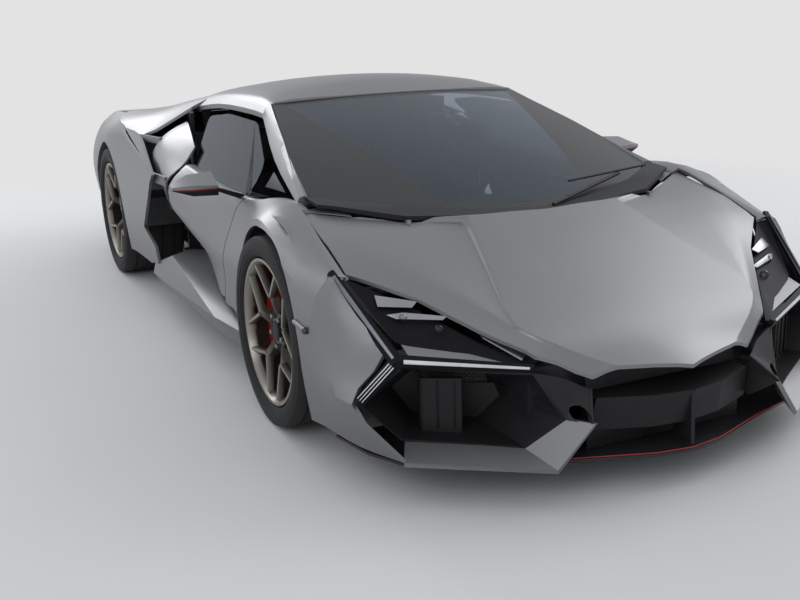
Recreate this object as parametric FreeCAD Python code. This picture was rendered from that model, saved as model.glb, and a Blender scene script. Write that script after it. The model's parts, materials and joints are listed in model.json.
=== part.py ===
import FreeCAD, Part

import math
import os

from FreeCAD import Vector as V

# A low mid-engined two-seat sports car, built as separate panels, glass, running gear and cabin.
# X runs forward, Y to the car's left, Z up. The origin is on the ground under the middle of the car.
# All sizes are in millimetres. Left pieces are modelled, and right pieces are their mirror images.

# overall sizes
FRONT_OVERHANG = 1125.0
WHEELBASE = 2779.0
REAR_OVERHANG = 1043.0
LENGTH = FRONT_OVERHANG + WHEELBASE + REAR_OVERHANG
NOSE_X = LENGTH / 2
TAIL_X = -LENGTH / 2
FRONT_AXLE_X = NOSE_X - FRONT_OVERHANG
REAR_AXLE_X = FRONT_AXLE_X - WHEELBASE

# The tables below give stations of the car as drawn. Each station keeps its distance from the axle
# that it is near, and the nose, the cabin and the tail stretch between.
# Columns: drawn station, its place on this car.
DRAWN_FRONT = 1348.5
DRAWN_REAR = -1430.5
GRID = [
    (-2473.5, TAIL_X),
    (DRAWN_REAR - 450.0, REAR_AXLE_X - 450.0),
    (DRAWN_REAR + 450.0, REAR_AXLE_X + 450.0),
    (DRAWN_FRONT - 450.0, FRONT_AXLE_X - 450.0),
    (DRAWN_FRONT + 450.0, FRONT_AXLE_X + 450.0),
    (2473.5, NOSE_X),
]

# wheels and tyres
FRONT_TYRE_R = 347.0
FRONT_TYRE_W = 265.0
REAR_TYRE_R = 370.0
REAR_TYRE_W = 345.0
FRONT_SIDEWALL = 81.0
REAR_SIDEWALL = 91.0
FRONT_WHEEL_Y = 862.0
REAR_WHEEL_Y = 832.0
RIM_WALL = 9.0
FACE_INSET = 14.0
BEAD_INSET = 26.0
SPOKE_PAIRS = 5
DISC_R = 205.0
DISC_T = 34.0
HUB_BORE_R = 27.0
RUNNING_GAP = 0.1
SPINDLE_R = HUB_BORE_R - RUNNING_GAP

# wheel arches: the lip is close to the tyre, and the well inside it clears a steered tyre
ARCH_GAP = 35.0
STEER_GAP = 68.0
FRONT_LINER_Y = 940.0
REAR_LINER_Y = 994.0
LINER_T = 4.0

# panel walls and the gaps between panels
SKIN_T = 14.0
HOOD_T = 12.0
ROOF_T = 22.0
DECK_T = 16.0
DOOR_T = 84.0
GLASS_T = 5.0
PANEL_GAP = 6.0
HOOD_GAP = 9.0
SEAT_GAP = 0.3
SLIVER = 5000.0

# how finely a panel is divided between its stations, and between the points of a section
ALONG_STEPS = 3
ACROSS_STEPS = 3

# door: the hinge stands ahead of its front edge, leaned so that the rear rises and moves out
DOOR_HINGE = (850.0, 800.0, 706.0)
DOOR_LEAN = 0.18
DOOR_PIN_R = 8.0

# hood: goose-neck arms swing about a pin behind the hood's rear corners
HOOD_HINGE_X = 1250.0
HOOD_HINGE_Z = 735.0
HOOD_ARM_Y = 522.0
HOOD_ARM_R = 330.0

# engine cover and rear wing hinges, on axes across the car
COVER_HINGE_X = -640.0
COVER_HINGE_Z = 1026.0
COVER_EYE_Y = 380.0
WING_HINGE_X = -2100.0
WING_HINGE_Z = 836.0
WING_EYE_Y = 300.0
LID_PIN_R = 8.0
LID_PIN_GAP = 0.3

# cut lines between panels
BUMPER_CUT_X = 1815.0
DOOR_CUT_TOP = (812, 758)
DOOR_CUT_KNEE = (740, 690)
DOOR_CUT_FOOT = (634, 306)

# side glass: it leans in by this much for each unit of height above its base line
GLASS_BASE_Y = 815.0
GLASS_BASE_Z = 778.0
GLASS_LEAN = 0.66

# floor and tow sockets
FLOOR_Z = 118.0
PLATE_T = 10.0
TOW_R = 8.0
FRONT_TOW = (2250.0, 379.0, 280.0)
REAR_TOW = (-2360.0, 620.0, 400.0)

# steering: the kingpin is upright, just inboard of the brake disc
KINGPIN_Y = 790.0
KINGPIN_R = 14.0
ARM_Z_LOW = 235.0
ARM_Z_HIGH = 470.0
FRONT_BOX_Y = 470.0
REAR_RAIL_Y = 395.0

# where the frame's bolted sections meet: tail, rear frame, tub, front box and nose rails
FRAME_JOINTS = [-2400, -1770, -590, 925, 1590, 2300]

# Outer form of the side from the nose's cut to the back of the door, from the top edge down.
# Columns: x, then y and z of the top edge, the crest, the shoulder, the waist, the tuck and the foot.
SIDE_TABLE = [
    (1815, (850, 630), (905, 645), (962, 585), (990, 470), (985, 320), (955, 150)),
    (1600, (832, 706), (880, 716), (976, 672), (1003, 560), (1003, 350), (982, 135)),
    (1345, (800, 775), (862, 792), (972, 748), (1008, 640), (1006, 400), (985, 130)),
    (1130, (800, 783), (856, 785), (945, 715), (985, 570), (980, 390), (978, 135)),
    (930, (826, 752), (860, 752), (905, 665), (945, 530), (940, 400), (945, 285)),
    (600, (850, 742), (870, 738), (902, 640), (938, 500), (925, 390), (925, 280)),
    (200, (850, 752), (870, 746), (920, 650), (945, 530), (870, 400), (862, 290)),
    (-190, (838, 778), (862, 772), (962, 690), (958, 600), (826, 430), (815, 300)),
]
DOOR_ROWS = slice(3, 8)
# which way each column of a side panel is thick
SIDE_INWARD = [(0, -0.1, -1), (0, -0.6, -0.8), (0, -1, -0.2), (0, -1, 0), (0, -1, 0), (0, -1, 0)]
FLANK_INWARD = [
    (0, -0.1, -1),
    (0, -0.6, -0.8),
    (-0.3, -1, -0.2),
    (-0.3, -1, 0),
    (-0.3, -1, 0),
    (-0.3, -1, 0),
]
DUCT_INWARD = [(0, -0.5, -0.8), (0, -0.6, -0.7), (0, -0.9, -0.4), (0, -1, 0), (0, -1, 0)]
QUARTER_TABLE = [
    (-190, (900, 800), (930, 780), (1000, 725), (1004, 560), (1000, 400), (985, 235)),
    (-880, (850, 930), (925, 905), (987, 846), (1010, 620), (1006, 420), (985, 225)),
    (-1172, (900, 916), (950, 904), (998, 830), (1014, 640), (1010, 420), (988, 200)),
    (-1430, (850, 926), (885, 919), (992, 822), (1014, 680), (1010, 420), (988, 200)),
    (-1950, (770, 896), (800, 888), (925, 795), (992, 640), (985, 450), (940, 300)),
    (-2360, (742, 880), (766, 874), (862, 790), (925, 640), (915, 480), (870, 350)),
]

# leading edge of the rear wing: outer line, inner line and underside, from its front tip to its top
EDGE_FRONT = [(-256, 996, 722), (-262, 986, 722), (-262, 994, 710)]
EDGE_REAR = [(-1172, 944, 900), (-907, 896, 850), (-1150, 930, 860)]

# Flank of the nose, from the wing's cut forward to the edge of the lamp and the intake.
# Columns: the top edge, the crest, the shoulder, the waist, the tuck and the foot, each as x, y, z.
FLANK_TABLE = [
    [
        (1815, 850, 630),
        (1815, 905, 645),
        (1815, 962, 585),
        (1815, 990, 470),
        (1815, 985, 320),
        (1815, 955, 150),
    ],
    [
        (1817, 872, 638),
        (1832, 909, 640),
        (1885, 932, 562),
        (1945, 936, 458),
        (1965, 992, 318),
        (2010, 915, 142),
    ],
    [
        (1819, 893, 646),
        (1850, 912, 634),
        (1952, 884, 542),
        (2062, 852, 444),
        (2098, 974, 322),
        (2190, 852, 145),
    ],
]

# the three arms of the lamp: rear end, fork, inner tip and foot
LAMP_TAIL = (1800, 905, 652)
LAMP_FORK = (2104, 828, 431)
LAMP_TIP = (2294, 466, 402)
LAMP_FOOT = (2104, 958, 322)

# Lip under the intake and the blade that turns up from it. Columns: rear edge, front edge, thickness.
LIP_TABLE = [
    ((2115, 812, 182), (2190, 852, 145), (0, 0, -14)),
    ((2312, 508, 164), (2428, 470, 130), (-4, -6, -14)),
    ((2382, 408, 262), (2453, 360, 262), (-6, -14, -2)),
]

# mouth of the side intake and the duct's rear end, round from the lamp's tip
INTAKE_MOUTH = [
    (2296, 470, 384),
    (2112, 812, 408),
    (2096, 944, 316),
    (2116, 818, 188),
    (2310, 510, 168),
    (2380, 414, 258),
]
INTAKE_REAR = [
    (2060, 500, 345),
    (1950, 690, 345),
    (1930, 760, 290),
    (1950, 700, 200),
    (2060, 540, 190),
    (2090, 480, 260),
]
LOUVRE = [(2146, 628), (2154, 636), (2092, 742), (2084, 734)]

# ledge between the intakes, each corner's top and bottom
LEDGE_TABLE = [
    ((2458, 0, 303), (2440, 0, 196)),
    ((2440, 130, 303), (2422, 130, 196)),
    ((2370, 296, 303), (2352, 306, 196)),
    ((2300, 296, 303), (2300, 306, 196)),
    ((2300, 0, 303), (2300, 0, 196)),
]

# plates beside the ledge: the outer one faces forward, the inner one faces out
CHEEK = [(2352, 300, 345), (2294, 462, 388), (2384, 414, 262), (2448, 366, 262)]
INNER_WALL = [(2352, 300, 345), (2448, 362, 262), (2370, 306, 200), (2290, 300, 262), (2290, 290, 345)]
CHEEK_STEP = (-14, -2, -4)
INNER_WALL_T = 8.0

# Outer form of the hood. Columns: x, then y and z of the middle, the crease, the crease's foot, the side
# ridge and the edge.
HOOD_TABLE = [
    (2480, (0, 362), (50, 357), (56, 354), (80, 350), (120, 330)),
    (2440, (0, 388), (140, 380), (146, 377), (170, 368), (215, 340)),
    (2361, (0, 430), (255, 405), (261, 402), (275, 392), (325, 345)),
    (2275, (0, 478), (392, 468), (398, 465), (410, 456), (478, 412)),
    (2183, (0, 522), (462, 511), (467, 507), (474, 504), (545, 452)),
    (1965, (0, 612), (410, 606), (424, 595), (606, 602), (705, 560)),
    (1799, (0, 680), (362, 676), (382, 660), (700, 670), (875, 632)),
    (1640, (0, 742), (318, 741), (345, 720), (760, 716), (880, 694)),
    (1480, (0, 757), (655, 751), (670, 745), (795, 745), (870, 735)),
    (1300, (0, 770), (790, 774), (800, 774), (820, 776), (870, 790)),
]
HOOD_OUTLINE = [
    (1651, 0),
    (1632, 260),
    (1572, 520),
    (1452, 700),
    (1384, 800),
    (1384, 829),
    (1600, 846),
    (1799, 852),
    (1965, 680),
    (2129, 560),
    (2272, 450),
    (2358, 304),
    (2450, 0),
]

# the lamp's lens, between the hood's edge and the level arm. Columns: hood side, arm side, each as x, y, z
LENS_TABLE = [
    ((1806, 862, 628), (1812, 900, 640)),
    ((1965, 694, 540), (2040, 800, 470)),
    ((2129, 575, 462), (2180, 640, 418)),
    ((2272, 462, 404), (2290, 474, 398)),
]

# painted blade over the level arm: its rear corner, its tip and its lower corner
BLADE = [(1990, 782, 484), (2262, 470, 408), (2108, 790, 446)]

SPLITTER_OUTLINE = [
    (NOSE_X, 0),
    (2458, 120),
    (2370, 360),
    (2330, 520),
    (2206, 800),
    (2082, 930),
    (1815, 950),
    (1815, 700),
    (2060, 540),
    (2060, 0),
]

# scuttle: x, then z at the middle and z 800 out
COWL_TABLE = [(1700, 728, 728), (1600, 738, 745), (1400, 762, 790), (1200, 790, 806)]

# windscreen pillar: x, then a ring of (y, z)
PILLAR_TABLE = [
    (1250, (735, 776), (775, 806), (796, 800), (806, 780), (790, 764)),
    (820, (672, 925), (690, 946), (712, 926), (736, 884), (696, 890)),
    (400, (575, 1052), (600, 1084), (622, 1064), (638, 1030), (600, 1024)),
]
ROOF_TABLE = [
    (492, (0, 1099), (330, 1091), (590, 1074), (640, 1032)),
    (250, (0, 1160), (330, 1142), (575, 1099), (634, 1042)),
    (-250, (0, 1150), (330, 1133), (570, 1090), (636, 1040)),
    (-640, (0, 1118), (330, 1100), (560, 1062), (655, 1005)),
]
# the deck that runs from the roof's rear corners out to the haunches
DECK_TABLE = [
    (-600, (520, 1068), (560, 1062), (640, 1028), (690, 1006)),
    (-907, (545, 1032), (640, 1003), (780, 925), (895, 852)),
    (-1172, (570, 996), (660, 970), (820, 936), (950, 904)),
    (-1500, (590, 952), (660, 946), (780, 938), (868, 922)),
    (-1960, (650, 906), (680, 904), (740, 900), (772, 896)),
]

# door and side window outlines, as (x, z) seen from the side
DOOR_OUTLINE = [
    DOOR_CUT_TOP,
    DOOR_CUT_KNEE,
    DOOR_CUT_FOOT,
    (528, 296),
    (69, 409),
    (8, 444),
    (-60, 560),
    (-110, 660),
    (-140, 830),
]
GLASS_OUTLINE = [
    (735, 735),
    (776, 762),
    (762, 862),
    (424, 1000),
    (-9, 1008),
    (-300, 980),
    (-150, 800),
    (-125, 735),
]
MIRROR_TABLE = [
    (960, (775, 760), (780, 800), (680, 845), (665, 830), (665, 770)),
    (1060, (770, 764), (775, 808), (675, 838), (660, 825), (660, 775)),
    (1133, (735, 785), (738, 800), (690, 806), (675, 800), (675, 790)),
]
DUCT_TABLE = [
    (-172, (800, 850), (845, 790), (868, 766), (955, 690), (942, 560)),
    (-480, (742, 925), (820, 885), (890, 835), (935, 745), (880, 600)),
    (-600, (720, 935), (800, 900), (870, 850), (915, 760), (800, 640)),
]
QUARTER_OUTLINE = [
    (-1172, 1000),
    (-1172, 904),
    (-250, 722),
    (-464, 495),
    (-540, 423),
    (-340, 350),
    (-340, 262),
    (-505, 240),
    (-505, 100),
    (-2372, 100),
    (-2372, 1000),
]

# sill blade: x, then a ring of (y, z)
SILL_TABLE = [
    (925, (800, 118), (900, 118), (912, 200), (905, 280), (800, 280)),
    (640, (800, 118), (955, 150), (982, 228), (905, 268), (800, 268)),
    (-140, (800, 118), (955, 140), (998, 205), (960, 340), (800, 350)),
    (-430, (800, 118), (955, 140), (998, 200), (985, 250), (800, 300)),
]
COVER_TABLE = [
    (-662, (0, 1050), (300, 1044), (480, 1030)),
    (-1300, (0, 985), (320, 975), (550, 945)),
    (-1990, (0, 900), (360, 892), (620, 868)),
]
COVER_SLOTS = [-860, -1080, -1300, -1520, -1740]
DIFFUSER_FINS = [-600, -360, -120, 120, 360, 600]


def at(x):
    """Where a drawn station lies on this car."""
    for (a, place_a), (b, place_b) in zip(GRID, GRID[1:]):
        if x <= b:
            break
    return place_a + (x - a) * (place_b - place_a) / (b - a)


def point(x, y, z):
    return V(at(x), y, z)


def place(x, pairs):
    """Points of one cross-section at a drawn station."""
    return [point(x, y, z) for y, z in pairs]


def polygon(points):
    return Part.makePolygon(points + [points[0]])


def mirror(shape):
    return shape.mirror(V(0, 0, 0), V(0, 1, 0))


def mirrored(outline):
    """A plan outline of the left half, closed by its mirror image."""
    return outline + [(x, -y) for x, y in outline[::-1] if y]


def both(shape):
    return Part.makeCompound([shape, mirror(shape)])


def prism_y(points, y0, y1):
    """A side-view outline of (x, z) points, run across the car from y0 to y1."""
    return Part.Face(polygon([point(x, y0, z) for x, z in points])).extrude(V(0, y1 - y0, 0))


def prism_z(points, z0, z1):
    """A plan-view outline of (x, y) points, run up from z0 to z1."""
    return Part.Face(polygon([point(x, y, z0) for x, y in points])).extrude(V(0, 0, z1 - z0))


def prism_x(points, x0, x1):
    """A front-view outline of (y, z) points, run along the car from x0 to x1."""
    return Part.Face(polygon([point(x0, y, z) for y, z in points])).extrude(V(at(x1) - at(x0), 0, 0))


def box(x0, x1, y0, y1, z0, z1):
    return Part.makeBox(at(x1) - at(x0), y1 - y0, z1 - z0, point(x0, y0, z0))


def rod(a, b, radius):
    a, b = point(*a), point(*b)
    return Part.makeCylinder(radius, (b - a).Length, a, b - a)


def drum(x, y0, y1, z, radius):
    """A cylinder across the car."""
    return rod((x, y0, z), (x, y1, z), radius)


def fuse(shapes):
    shape = shapes[0]
    for other in shapes[1:]:
        shape = shape.fuse(other)
    return shape.removeSplitter()


# flat-faced bodies: a body is closed from three-cornered faces between lines of points


def strip(a, b, looped=False):
    """Three-cornered faces between two lines with the same number of points."""
    faces = []
    for i in range(len(a) if looped else len(a) - 1):
        j = (i + 1) % len(a)
        for corners in ((a[i], a[j], b[j]), (a[i], b[j], b[i])):
            if (corners[1] - corners[0]).cross(corners[2] - corners[0]).Length > 0.01:
                faces.append(corners)
    return faces


def closed(faces):
    """The solid that a closed set of flat faces bounds."""
    shell = Part.makeCompound([Part.Face(polygon(list(f))) for f in faces])
    shell.sewShape()
    solid = Part.Solid(shell.Shells[0])
    if solid.Volume < 0:
        solid.reverse()
    return solid


def cap(ring):
    """The end face of a tube: one face where the ring is flat, and else a fan about its middle."""
    normal = (ring[1] - ring[0]).cross(ring[2] - ring[0])
    if all(abs((p - ring[0]).dot(normal)) < 0.001 * normal.Length for p in ring):
        return [ring]
    middle = sum(ring, V(0, 0, 0)) * (1 / len(ring))
    return strip(ring, [middle] * len(ring), True)


def tube(rings):
    """A body run through closed rings of points."""
    faces = cap(rings[0]) + cap(rings[-1])
    for a, b in zip(rings, rings[1:]):
        faces += strip(a, b, True)
    return closed(faces)


def sheet(outer, inner):
    """A body between two grids of points."""
    faces = strip(outer[0], inner[0]) + strip(outer[-1], inner[-1])
    for rows in (outer, inner):
        for a, b in zip(rows, rows[1:]):
            faces += strip(a, b)
    for side in (0, -1):
        faces += strip([row[side] for row in outer], [row[side] for row in inner])
    return closed(faces)


def smooth(points, steps, folds=()):
    """Points of a smooth line through the given ones, which keeps its corners at the folds."""
    ends = [0, *folds, len(points) - 1]
    line = [points[0]]
    for first, last in zip(ends, ends[1:]):
        for i in range(first, last):
            a, b = points[i], points[i + 1]
            before = points[i - 1] if i > first else a
            after = points[i + 2] if i + 2 <= last else b
            if i == first == 0 and a.y == 0 and b.y != 0:
                before = V(b.x, -b.y, b.z)
            span = (b - a).Length
            start = (b - before) * (span / max((b - a).Length + (a - before).Length, 1e-6))
            end = (after - a) * (span / max((b - a).Length + (after - b).Length, 1e-6))
            for k in range(1, steps + 1):
                t = k / steps
                weights = (2 * t**3 - 3 * t**2 + 1, t**3 - 2 * t**2 + t, 3 * t**2 - 2 * t**3, t**3 - t**2)
                line.append(a * weights[0] + start * weights[1] + b * weights[2] + end * weights[3])
    return line


def net(rows, along=ALONG_STEPS, across=ACROSS_STEPS, row_folds=(), folds=()):
    """A finer grid through the given rows of points."""
    fine = [smooth(row, across, folds) for row in rows]
    columns = [smooth([row[j] for row in fine], along, row_folds) for j in range(len(fine[0]))]
    return [[column[i] for column in columns] for i in range(len(columns[0]))]


def inward(grid, depth, ways):
    """The same grid moved in by a depth. Each column of the table goes its own way."""
    ways = [V(*way) for way in ways]
    across = (len(grid[0]) - 1) // (len(ways) - 1)
    fine = []
    for a, b in zip(ways, ways[1:]):
        fine += [a + (b - a) * (k / across) for k in range(across)]
    fine.append(ways[-1])
    return [[p + way * depth for p, way in zip(row, fine)] for row in grid]


def stations(table):
    return [place(x, pairs) for x, *pairs in table]


def skin(rows, thickness, ways=None, **fineness):
    """A panel of even thickness whose outer face runs through the rows. It is thick downward unless told."""
    outer = net(rows, **fineness)
    return sheet(outer, inward(outer, thickness, ways or [(0, 0, -1)] * len(rows[0])))


def solids_only(shape):
    found = [s for s in shape.Solids if s.Volume > SLIVER]
    return found[0] if len(found) == 1 else Part.makeCompound(found)


def save(name, shape):
    shape = solids_only(shape)
    points = shape.tessellate(5.0)[0]
    bounds = FreeCAD.BoundBox(V(points[0]), V(points[0]))
    for p in points:
        bounds.add(p)
    print(
        f"{name}: {len(shape.Solids)} solids, {shape.Volume / 1e6:.2f} litres, valid {shape.isValid()}, "
        f"x {bounds.XMin:.0f}..{bounds.XMax:.0f} y {bounds.YMin:.0f}..{bounds.YMax:.0f} "
        f"z {bounds.ZMin:.0f}..{bounds.ZMax:.0f}"
    )
    shape.exportStep(f"parts/{name}.step")


def save_pair(name, shape):
    save(name + "_left", shape)
    save(name + "_right", mirror(shape))


# wheels: tyre radius, tyre width, sidewall, wheel middle, drawn axle station, and how far the hub sits
# behind the rim's face
AXLES = {
    "front": (FRONT_TYRE_R, FRONT_TYRE_W, FRONT_SIDEWALL, FRONT_WHEEL_Y, DRAWN_FRONT, 42.0),
    "rear": (REAR_TYRE_R, REAR_TYRE_W, REAR_SIDEWALL, REAR_WHEEL_Y, DRAWN_REAR, 70.0),
}


def arch(axle, radius, y0, y1):
    """The round space of one wheel between two planes, with its opening down to the ground."""
    centre_z = AXLES[axle][0]
    x = AXLES[axle][4]
    below = box(x - radius, x + radius, y0, y1, -50, centre_z)
    return drum(x, y0, y1, centre_z, radius).fuse(below)


def lip_arch(axle):
    return arch(axle, AXLES[axle][0] + ARCH_GAP, 400, 1100)


def well(axle, gap, outer_y):
    """The space inside the lip, and the liner round its upper part."""
    radius, width, sidewall, middle, x, dish = AXLES[axle]
    reach = radius + gap
    inner_y = middle - width / 2 - 50
    ring = drum(x, inner_y, outer_y, radius, reach + LINER_T).cut(drum(x, 0, 1100, radius, reach))
    ring = ring.cut(box(x - 2 * reach, x + 2 * reach, 0, 1100, -100, radius - 40))
    return arch(axle, reach, 400, outer_y), ring


# wheels


def revolved(profile):
    """A body turned about the Y axis from (y, radius) points."""
    face = Part.Face(polygon([V(0, y, r) for y, r in profile]))
    return face.revolve(V(0, 0, 0), V(0, 1, 0), 360)


def tyre(radius, width, sidewall):
    """A low-profile tyre at the origin, with rounded shoulders and a bead on the rim."""
    half = width / 2
    rim_radius = radius - sidewall
    bead = rim_radius - RIM_WALL
    bead_y = half - BEAD_INSET
    wall = 14
    right = [
        (half - 42, radius),
        (half - 14, radius - 12),
        (half, radius - sidewall * 0.5),
        (half - 8, rim_radius + 8),
        (bead_y, rim_radius + 1),
        (bead_y, bead),
        (bead_y - wall, bead),
        (half - wall - 4, radius - sidewall * 0.5),
        (half - wall - 20, radius - wall - 8),
    ]
    left = [(-y, r) for y, r in right[::-1]]
    return revolved(right + left)


def spoke_bar(r0, a0, r1, a1, y0, y1, width, depth):
    """One straight bar of a spoke, from radius r0 at angle a0 to radius r1 at angle a1."""
    p0 = V(r0 * math.cos(a0), y0, r0 * math.sin(a0))
    p1 = V(r1 * math.cos(a1), y1, r1 * math.sin(a1))
    along = (p1 - p0).normalize()
    side = along.cross(V(0, 1, 0)).normalize()
    rings = []
    for p, w, d in ((p0, width, depth), (p1, width * 0.8, depth * 0.8)):
        back = V(0, -d, 0)
        edge = side * (w / 2)
        crown = side * (w * 0.28)
        rings.append([p + edge + back, p + crown, p - crown, p - edge + back])
    return tube(rings)


def rim(radius, width, sidewall, dish):
    """A wheel at the origin with its outer face at +Y: barrel, hub and forked spokes."""
    half = width / 2
    rim_radius = radius - sidewall
    face_y = half - FACE_INSET
    flange_y = half - BEAD_INSET + SEAT_GAP
    barrel_r = rim_radius - 22
    seat_r = rim_radius - RIM_WALL - SEAT_GAP
    profile = [
        (-face_y, rim_radius),
        (-face_y + 24, barrel_r - RIM_WALL),
        (face_y - 34, barrel_r - RIM_WALL),
        (face_y, rim_radius - 10),
        (face_y, rim_radius),
        (flange_y, rim_radius),
        (flange_y, seat_r),
        (flange_y - 16, seat_r),
        (flange_y - 34, barrel_r),
        (-flange_y + 34, barrel_r),
        (-flange_y + 16, seat_r),
        (-flange_y, seat_r),
        (-flange_y, rim_radius),
    ]
    hub_y = face_y - dish
    hub_r = 78.0
    hub = Part.makeCylinder(hub_r, 44, V(0, hub_y - 44, 0), V(0, 1, 0))
    pieces = [revolved(profile), hub]
    step = 2 * math.pi / SPOKE_PAIRS
    fork_r = barrel_r * 0.56
    for i in range(SPOKE_PAIRS):
        a = math.pi / 2 + i * step
        pieces.append(spoke_bar(hub_r - 14, a, fork_r + 4, a, hub_y + 2, face_y - 16, 50, 30))
        for way in (-1, 1):
            start = a + way * 0.03
            end = a + way * step * 0.34
            tip_r = rim_radius - 20
            pieces.append(spoke_bar(fork_r - 8, start, tip_r, end, face_y - 15, face_y - 4, 22, 26))
    bore = Part.makeCylinder(HUB_BORE_R, 38, V(0, hub_y - 52, 0), V(0, 1, 0))
    return fuse(pieces).cut(bore)


def disc(hub_y):
    """The brake disc with its bell, bolted to the back of the hub."""
    bell_r = 92.0
    y1 = hub_y - 44
    bell = Part.makeCylinder(bell_r, 30, V(0, y1 - 30, 0), V(0, 1, 0))
    ring = Part.makeCylinder(DISC_R, DISC_T, V(0, y1 - 30 - DISC_T + 8, 0), V(0, 1, 0))
    shape = bell.fuse(ring).removeSplitter()
    return shape.cut(Part.makeCylinder(HUB_BORE_R, 120, V(0, y1 - 100, 0), V(0, 1, 0)))


def hub_plane(axle):
    """Local y of the hub's outer face."""
    radius, width, sidewall, middle, x, dish = AXLES[axle]
    return width / 2 - FACE_INSET - dish


def disc_span(axle):
    """World y of the brake disc's inner and outer faces."""
    middle = AXLES[axle][3]
    outer = middle + hub_plane(axle) - 44 - 30 + 8
    return outer - DISC_T, outer


def make_wheels():
    for axle, (radius, width, sidewall, middle, x, dish) in AXLES.items():
        centre = point(x, middle, radius)
        rubber = tyre(radius, width, sidewall)
        metal = rim(radius, width, sidewall, dish).fuse(disc(hub_plane(axle))).removeSplitter()
        rubber.translate(centre)
        metal.translate(centre)
        save_pair(f"tyre_{axle}", rubber)
        save_pair(f"wheel_{axle}", metal)


# knuckles, brakes and suspension


def caliper(axle, angle):
    """A block that straddles the brake disc, with the disc's slot cut clear."""
    inner, outer = disc_span(axle)
    gap = 5.0
    reach = DISC_R + 24
    ring = Part.makeCylinder(reach, outer - inner + 70, V(0, inner - 40, 0), V(0, 1, 0))
    ring = ring.cut(Part.makeCylinder(DISC_R - 62, 300, V(0, inner - 100, 0), V(0, 1, 0)))
    slot = Part.makeCylinder(DISC_R + gap, DISC_T + 2 * gap, V(0, inner - gap, 0), V(0, 1, 0))
    spread = math.radians(34)
    far = 2 * reach
    wedge = [V(0, 0, 0)] + [V(far * math.cos(a), 0, far * math.sin(a)) for a in (-spread, spread)]
    cutter = Part.Face(polygon(wedge)).extrude(V(0, 3000, 0))
    block = ring.cut(slot).common(cutter)
    block.rotate(V(0, 0, 0), V(0, 1, 0), angle)
    block.translate(point(AXLES[axle][4], 0, AXLES[axle][0]))
    return block


def carrier_back(axle):
    """World y of the knuckle's inner face."""
    return disc_span(axle)[0] - 62


def post_plane(axle):
    """World y of the ball joints."""
    return KINGPIN_Y if axle == "front" else carrier_back(axle) + 10


def knuckle(axle, angle):
    """The upright that carries one wheel: spindle, carrier, caliper bracket and ball-joint ears."""
    radius, width, sidewall, middle, x, dish = AXLES[axle]
    inner = disc_span(axle)[0]
    spindle_end = middle + hub_plane(axle) - 16
    back = carrier_back(axle)
    post_y = post_plane(axle)
    mount_r = DISC_R - 30
    tip_x = x + mount_r * math.cos(math.radians(-angle))
    tip_z = radius + mount_r * math.sin(math.radians(-angle))
    pieces = [
        drum(x, back, spindle_end, radius, SPINDLE_R),
        drum(x, back, back + 30, radius, 62),
        drum(x, back, back + 48, radius, 40),
        box(x - 26, x + 26, post_y - 18, post_y + 18, ARM_Z_LOW + 22, ARM_Z_HIGH - 22),
        box(x - 26, x + 26, min(post_y - 10, back), max(post_y + 10, back + 30), radius - 50, radius + 50),
        rod((x, post_y, ARM_Z_LOW - 16), (x, post_y, ARM_Z_LOW + 24), KINGPIN_R),
        rod((x, post_y, ARM_Z_HIGH - 24), (x, post_y, ARM_Z_HIGH + 16), KINGPIN_R),
        rod((x, back + 14, radius), (tip_x, back + 14, tip_z), 22),
        rod((tip_x, back + 14, tip_z), (tip_x, inner - 12, tip_z), 20),
        caliper(axle, angle),
    ]
    return fuse(pieces)


def bar(a, b, width, height):
    """A straight bar of oblong section that runs level or nearly so."""
    a, b = point(*a), point(*b)
    side = (b - a).cross(V(0, 0, 1)).normalize() * (width / 2)
    up = V(0, 0, height / 2)
    return tube([[p + side + up, p - side + up, p - side - up, p + side - up] for p in (a, b)])


def wishbone(axle, z, inner_y, spread):
    """An A-shaped arm from two chassis bushes to a ring round the knuckle's pin."""
    x = AXLES[axle][4]
    post_y = post_plane(axle)
    ring = Part.makeCylinder(30, 26, point(x, post_y, z - 13), V(0, 0, 1))
    bars = [bar((x, post_y - 8, z), (x + s * spread, inner_y - 26, z), 30, 18) for s in (-1, 1)]
    bushes = [drum(x + s * spread, inner_y - 30, inner_y, z, 20) for s in (-1, 1)]
    hole = Part.makeCylinder(KINGPIN_R + RUNNING_GAP, 80, point(x, post_y, z - 40), V(0, 0, 1))
    return fuse([ring, *bars, *bushes]).cut(hole)


def suspension_arms():
    """Upper and lower wishbones at each corner, and the shafts that drive the rear wheels."""
    arms = []
    for axle, inner_y, spread in (("front", FRONT_BOX_Y + 30, 150), ("rear", REAR_RAIL_Y + 30, 190)):
        for z in (ARM_Z_LOW, ARM_Z_HIGH):
            arms.append(wishbone(axle, z, inner_y, spread))
    shaft_end = carrier_back("rear") - SEAT_GAP
    arms.append(rod((DRAWN_REAR - 20, 300, 350), (DRAWN_REAR, shaft_end, REAR_TYRE_R), 18))
    return Part.makeCompound(arms + [mirror(a) for a in arms])


# outer panels


def fender():
    """Front wing from the door to the nose, with the liner of its wheel well."""
    outline = [
        (BUMPER_CUT_X, 0),
        (BUMPER_CUT_X, 900),
        (960, 900),
        (DOOR_CUT_TOP[0] + PANEL_GAP, DOOR_CUT_TOP[1]),
        (DOOR_CUT_KNEE[0] + PANEL_GAP, DOOR_CUT_KNEE[1]),
        (DOOR_CUT_FOOT[0] + PANEL_GAP, DOOR_CUT_FOOT[1]),
        (DOOR_CUT_FOOT[0] + PANEL_GAP, 0),
    ]
    space, liner = well("front", STEER_GAP, FRONT_LINER_Y)
    shape = skin(stations(SIDE_TABLE), SKIN_T, SIDE_INWARD).common(prism_y(outline, 0, 1100))
    return fuse([shape.cut(lip_arch("front")).cut(space), liner.cut(shape)])


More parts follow.
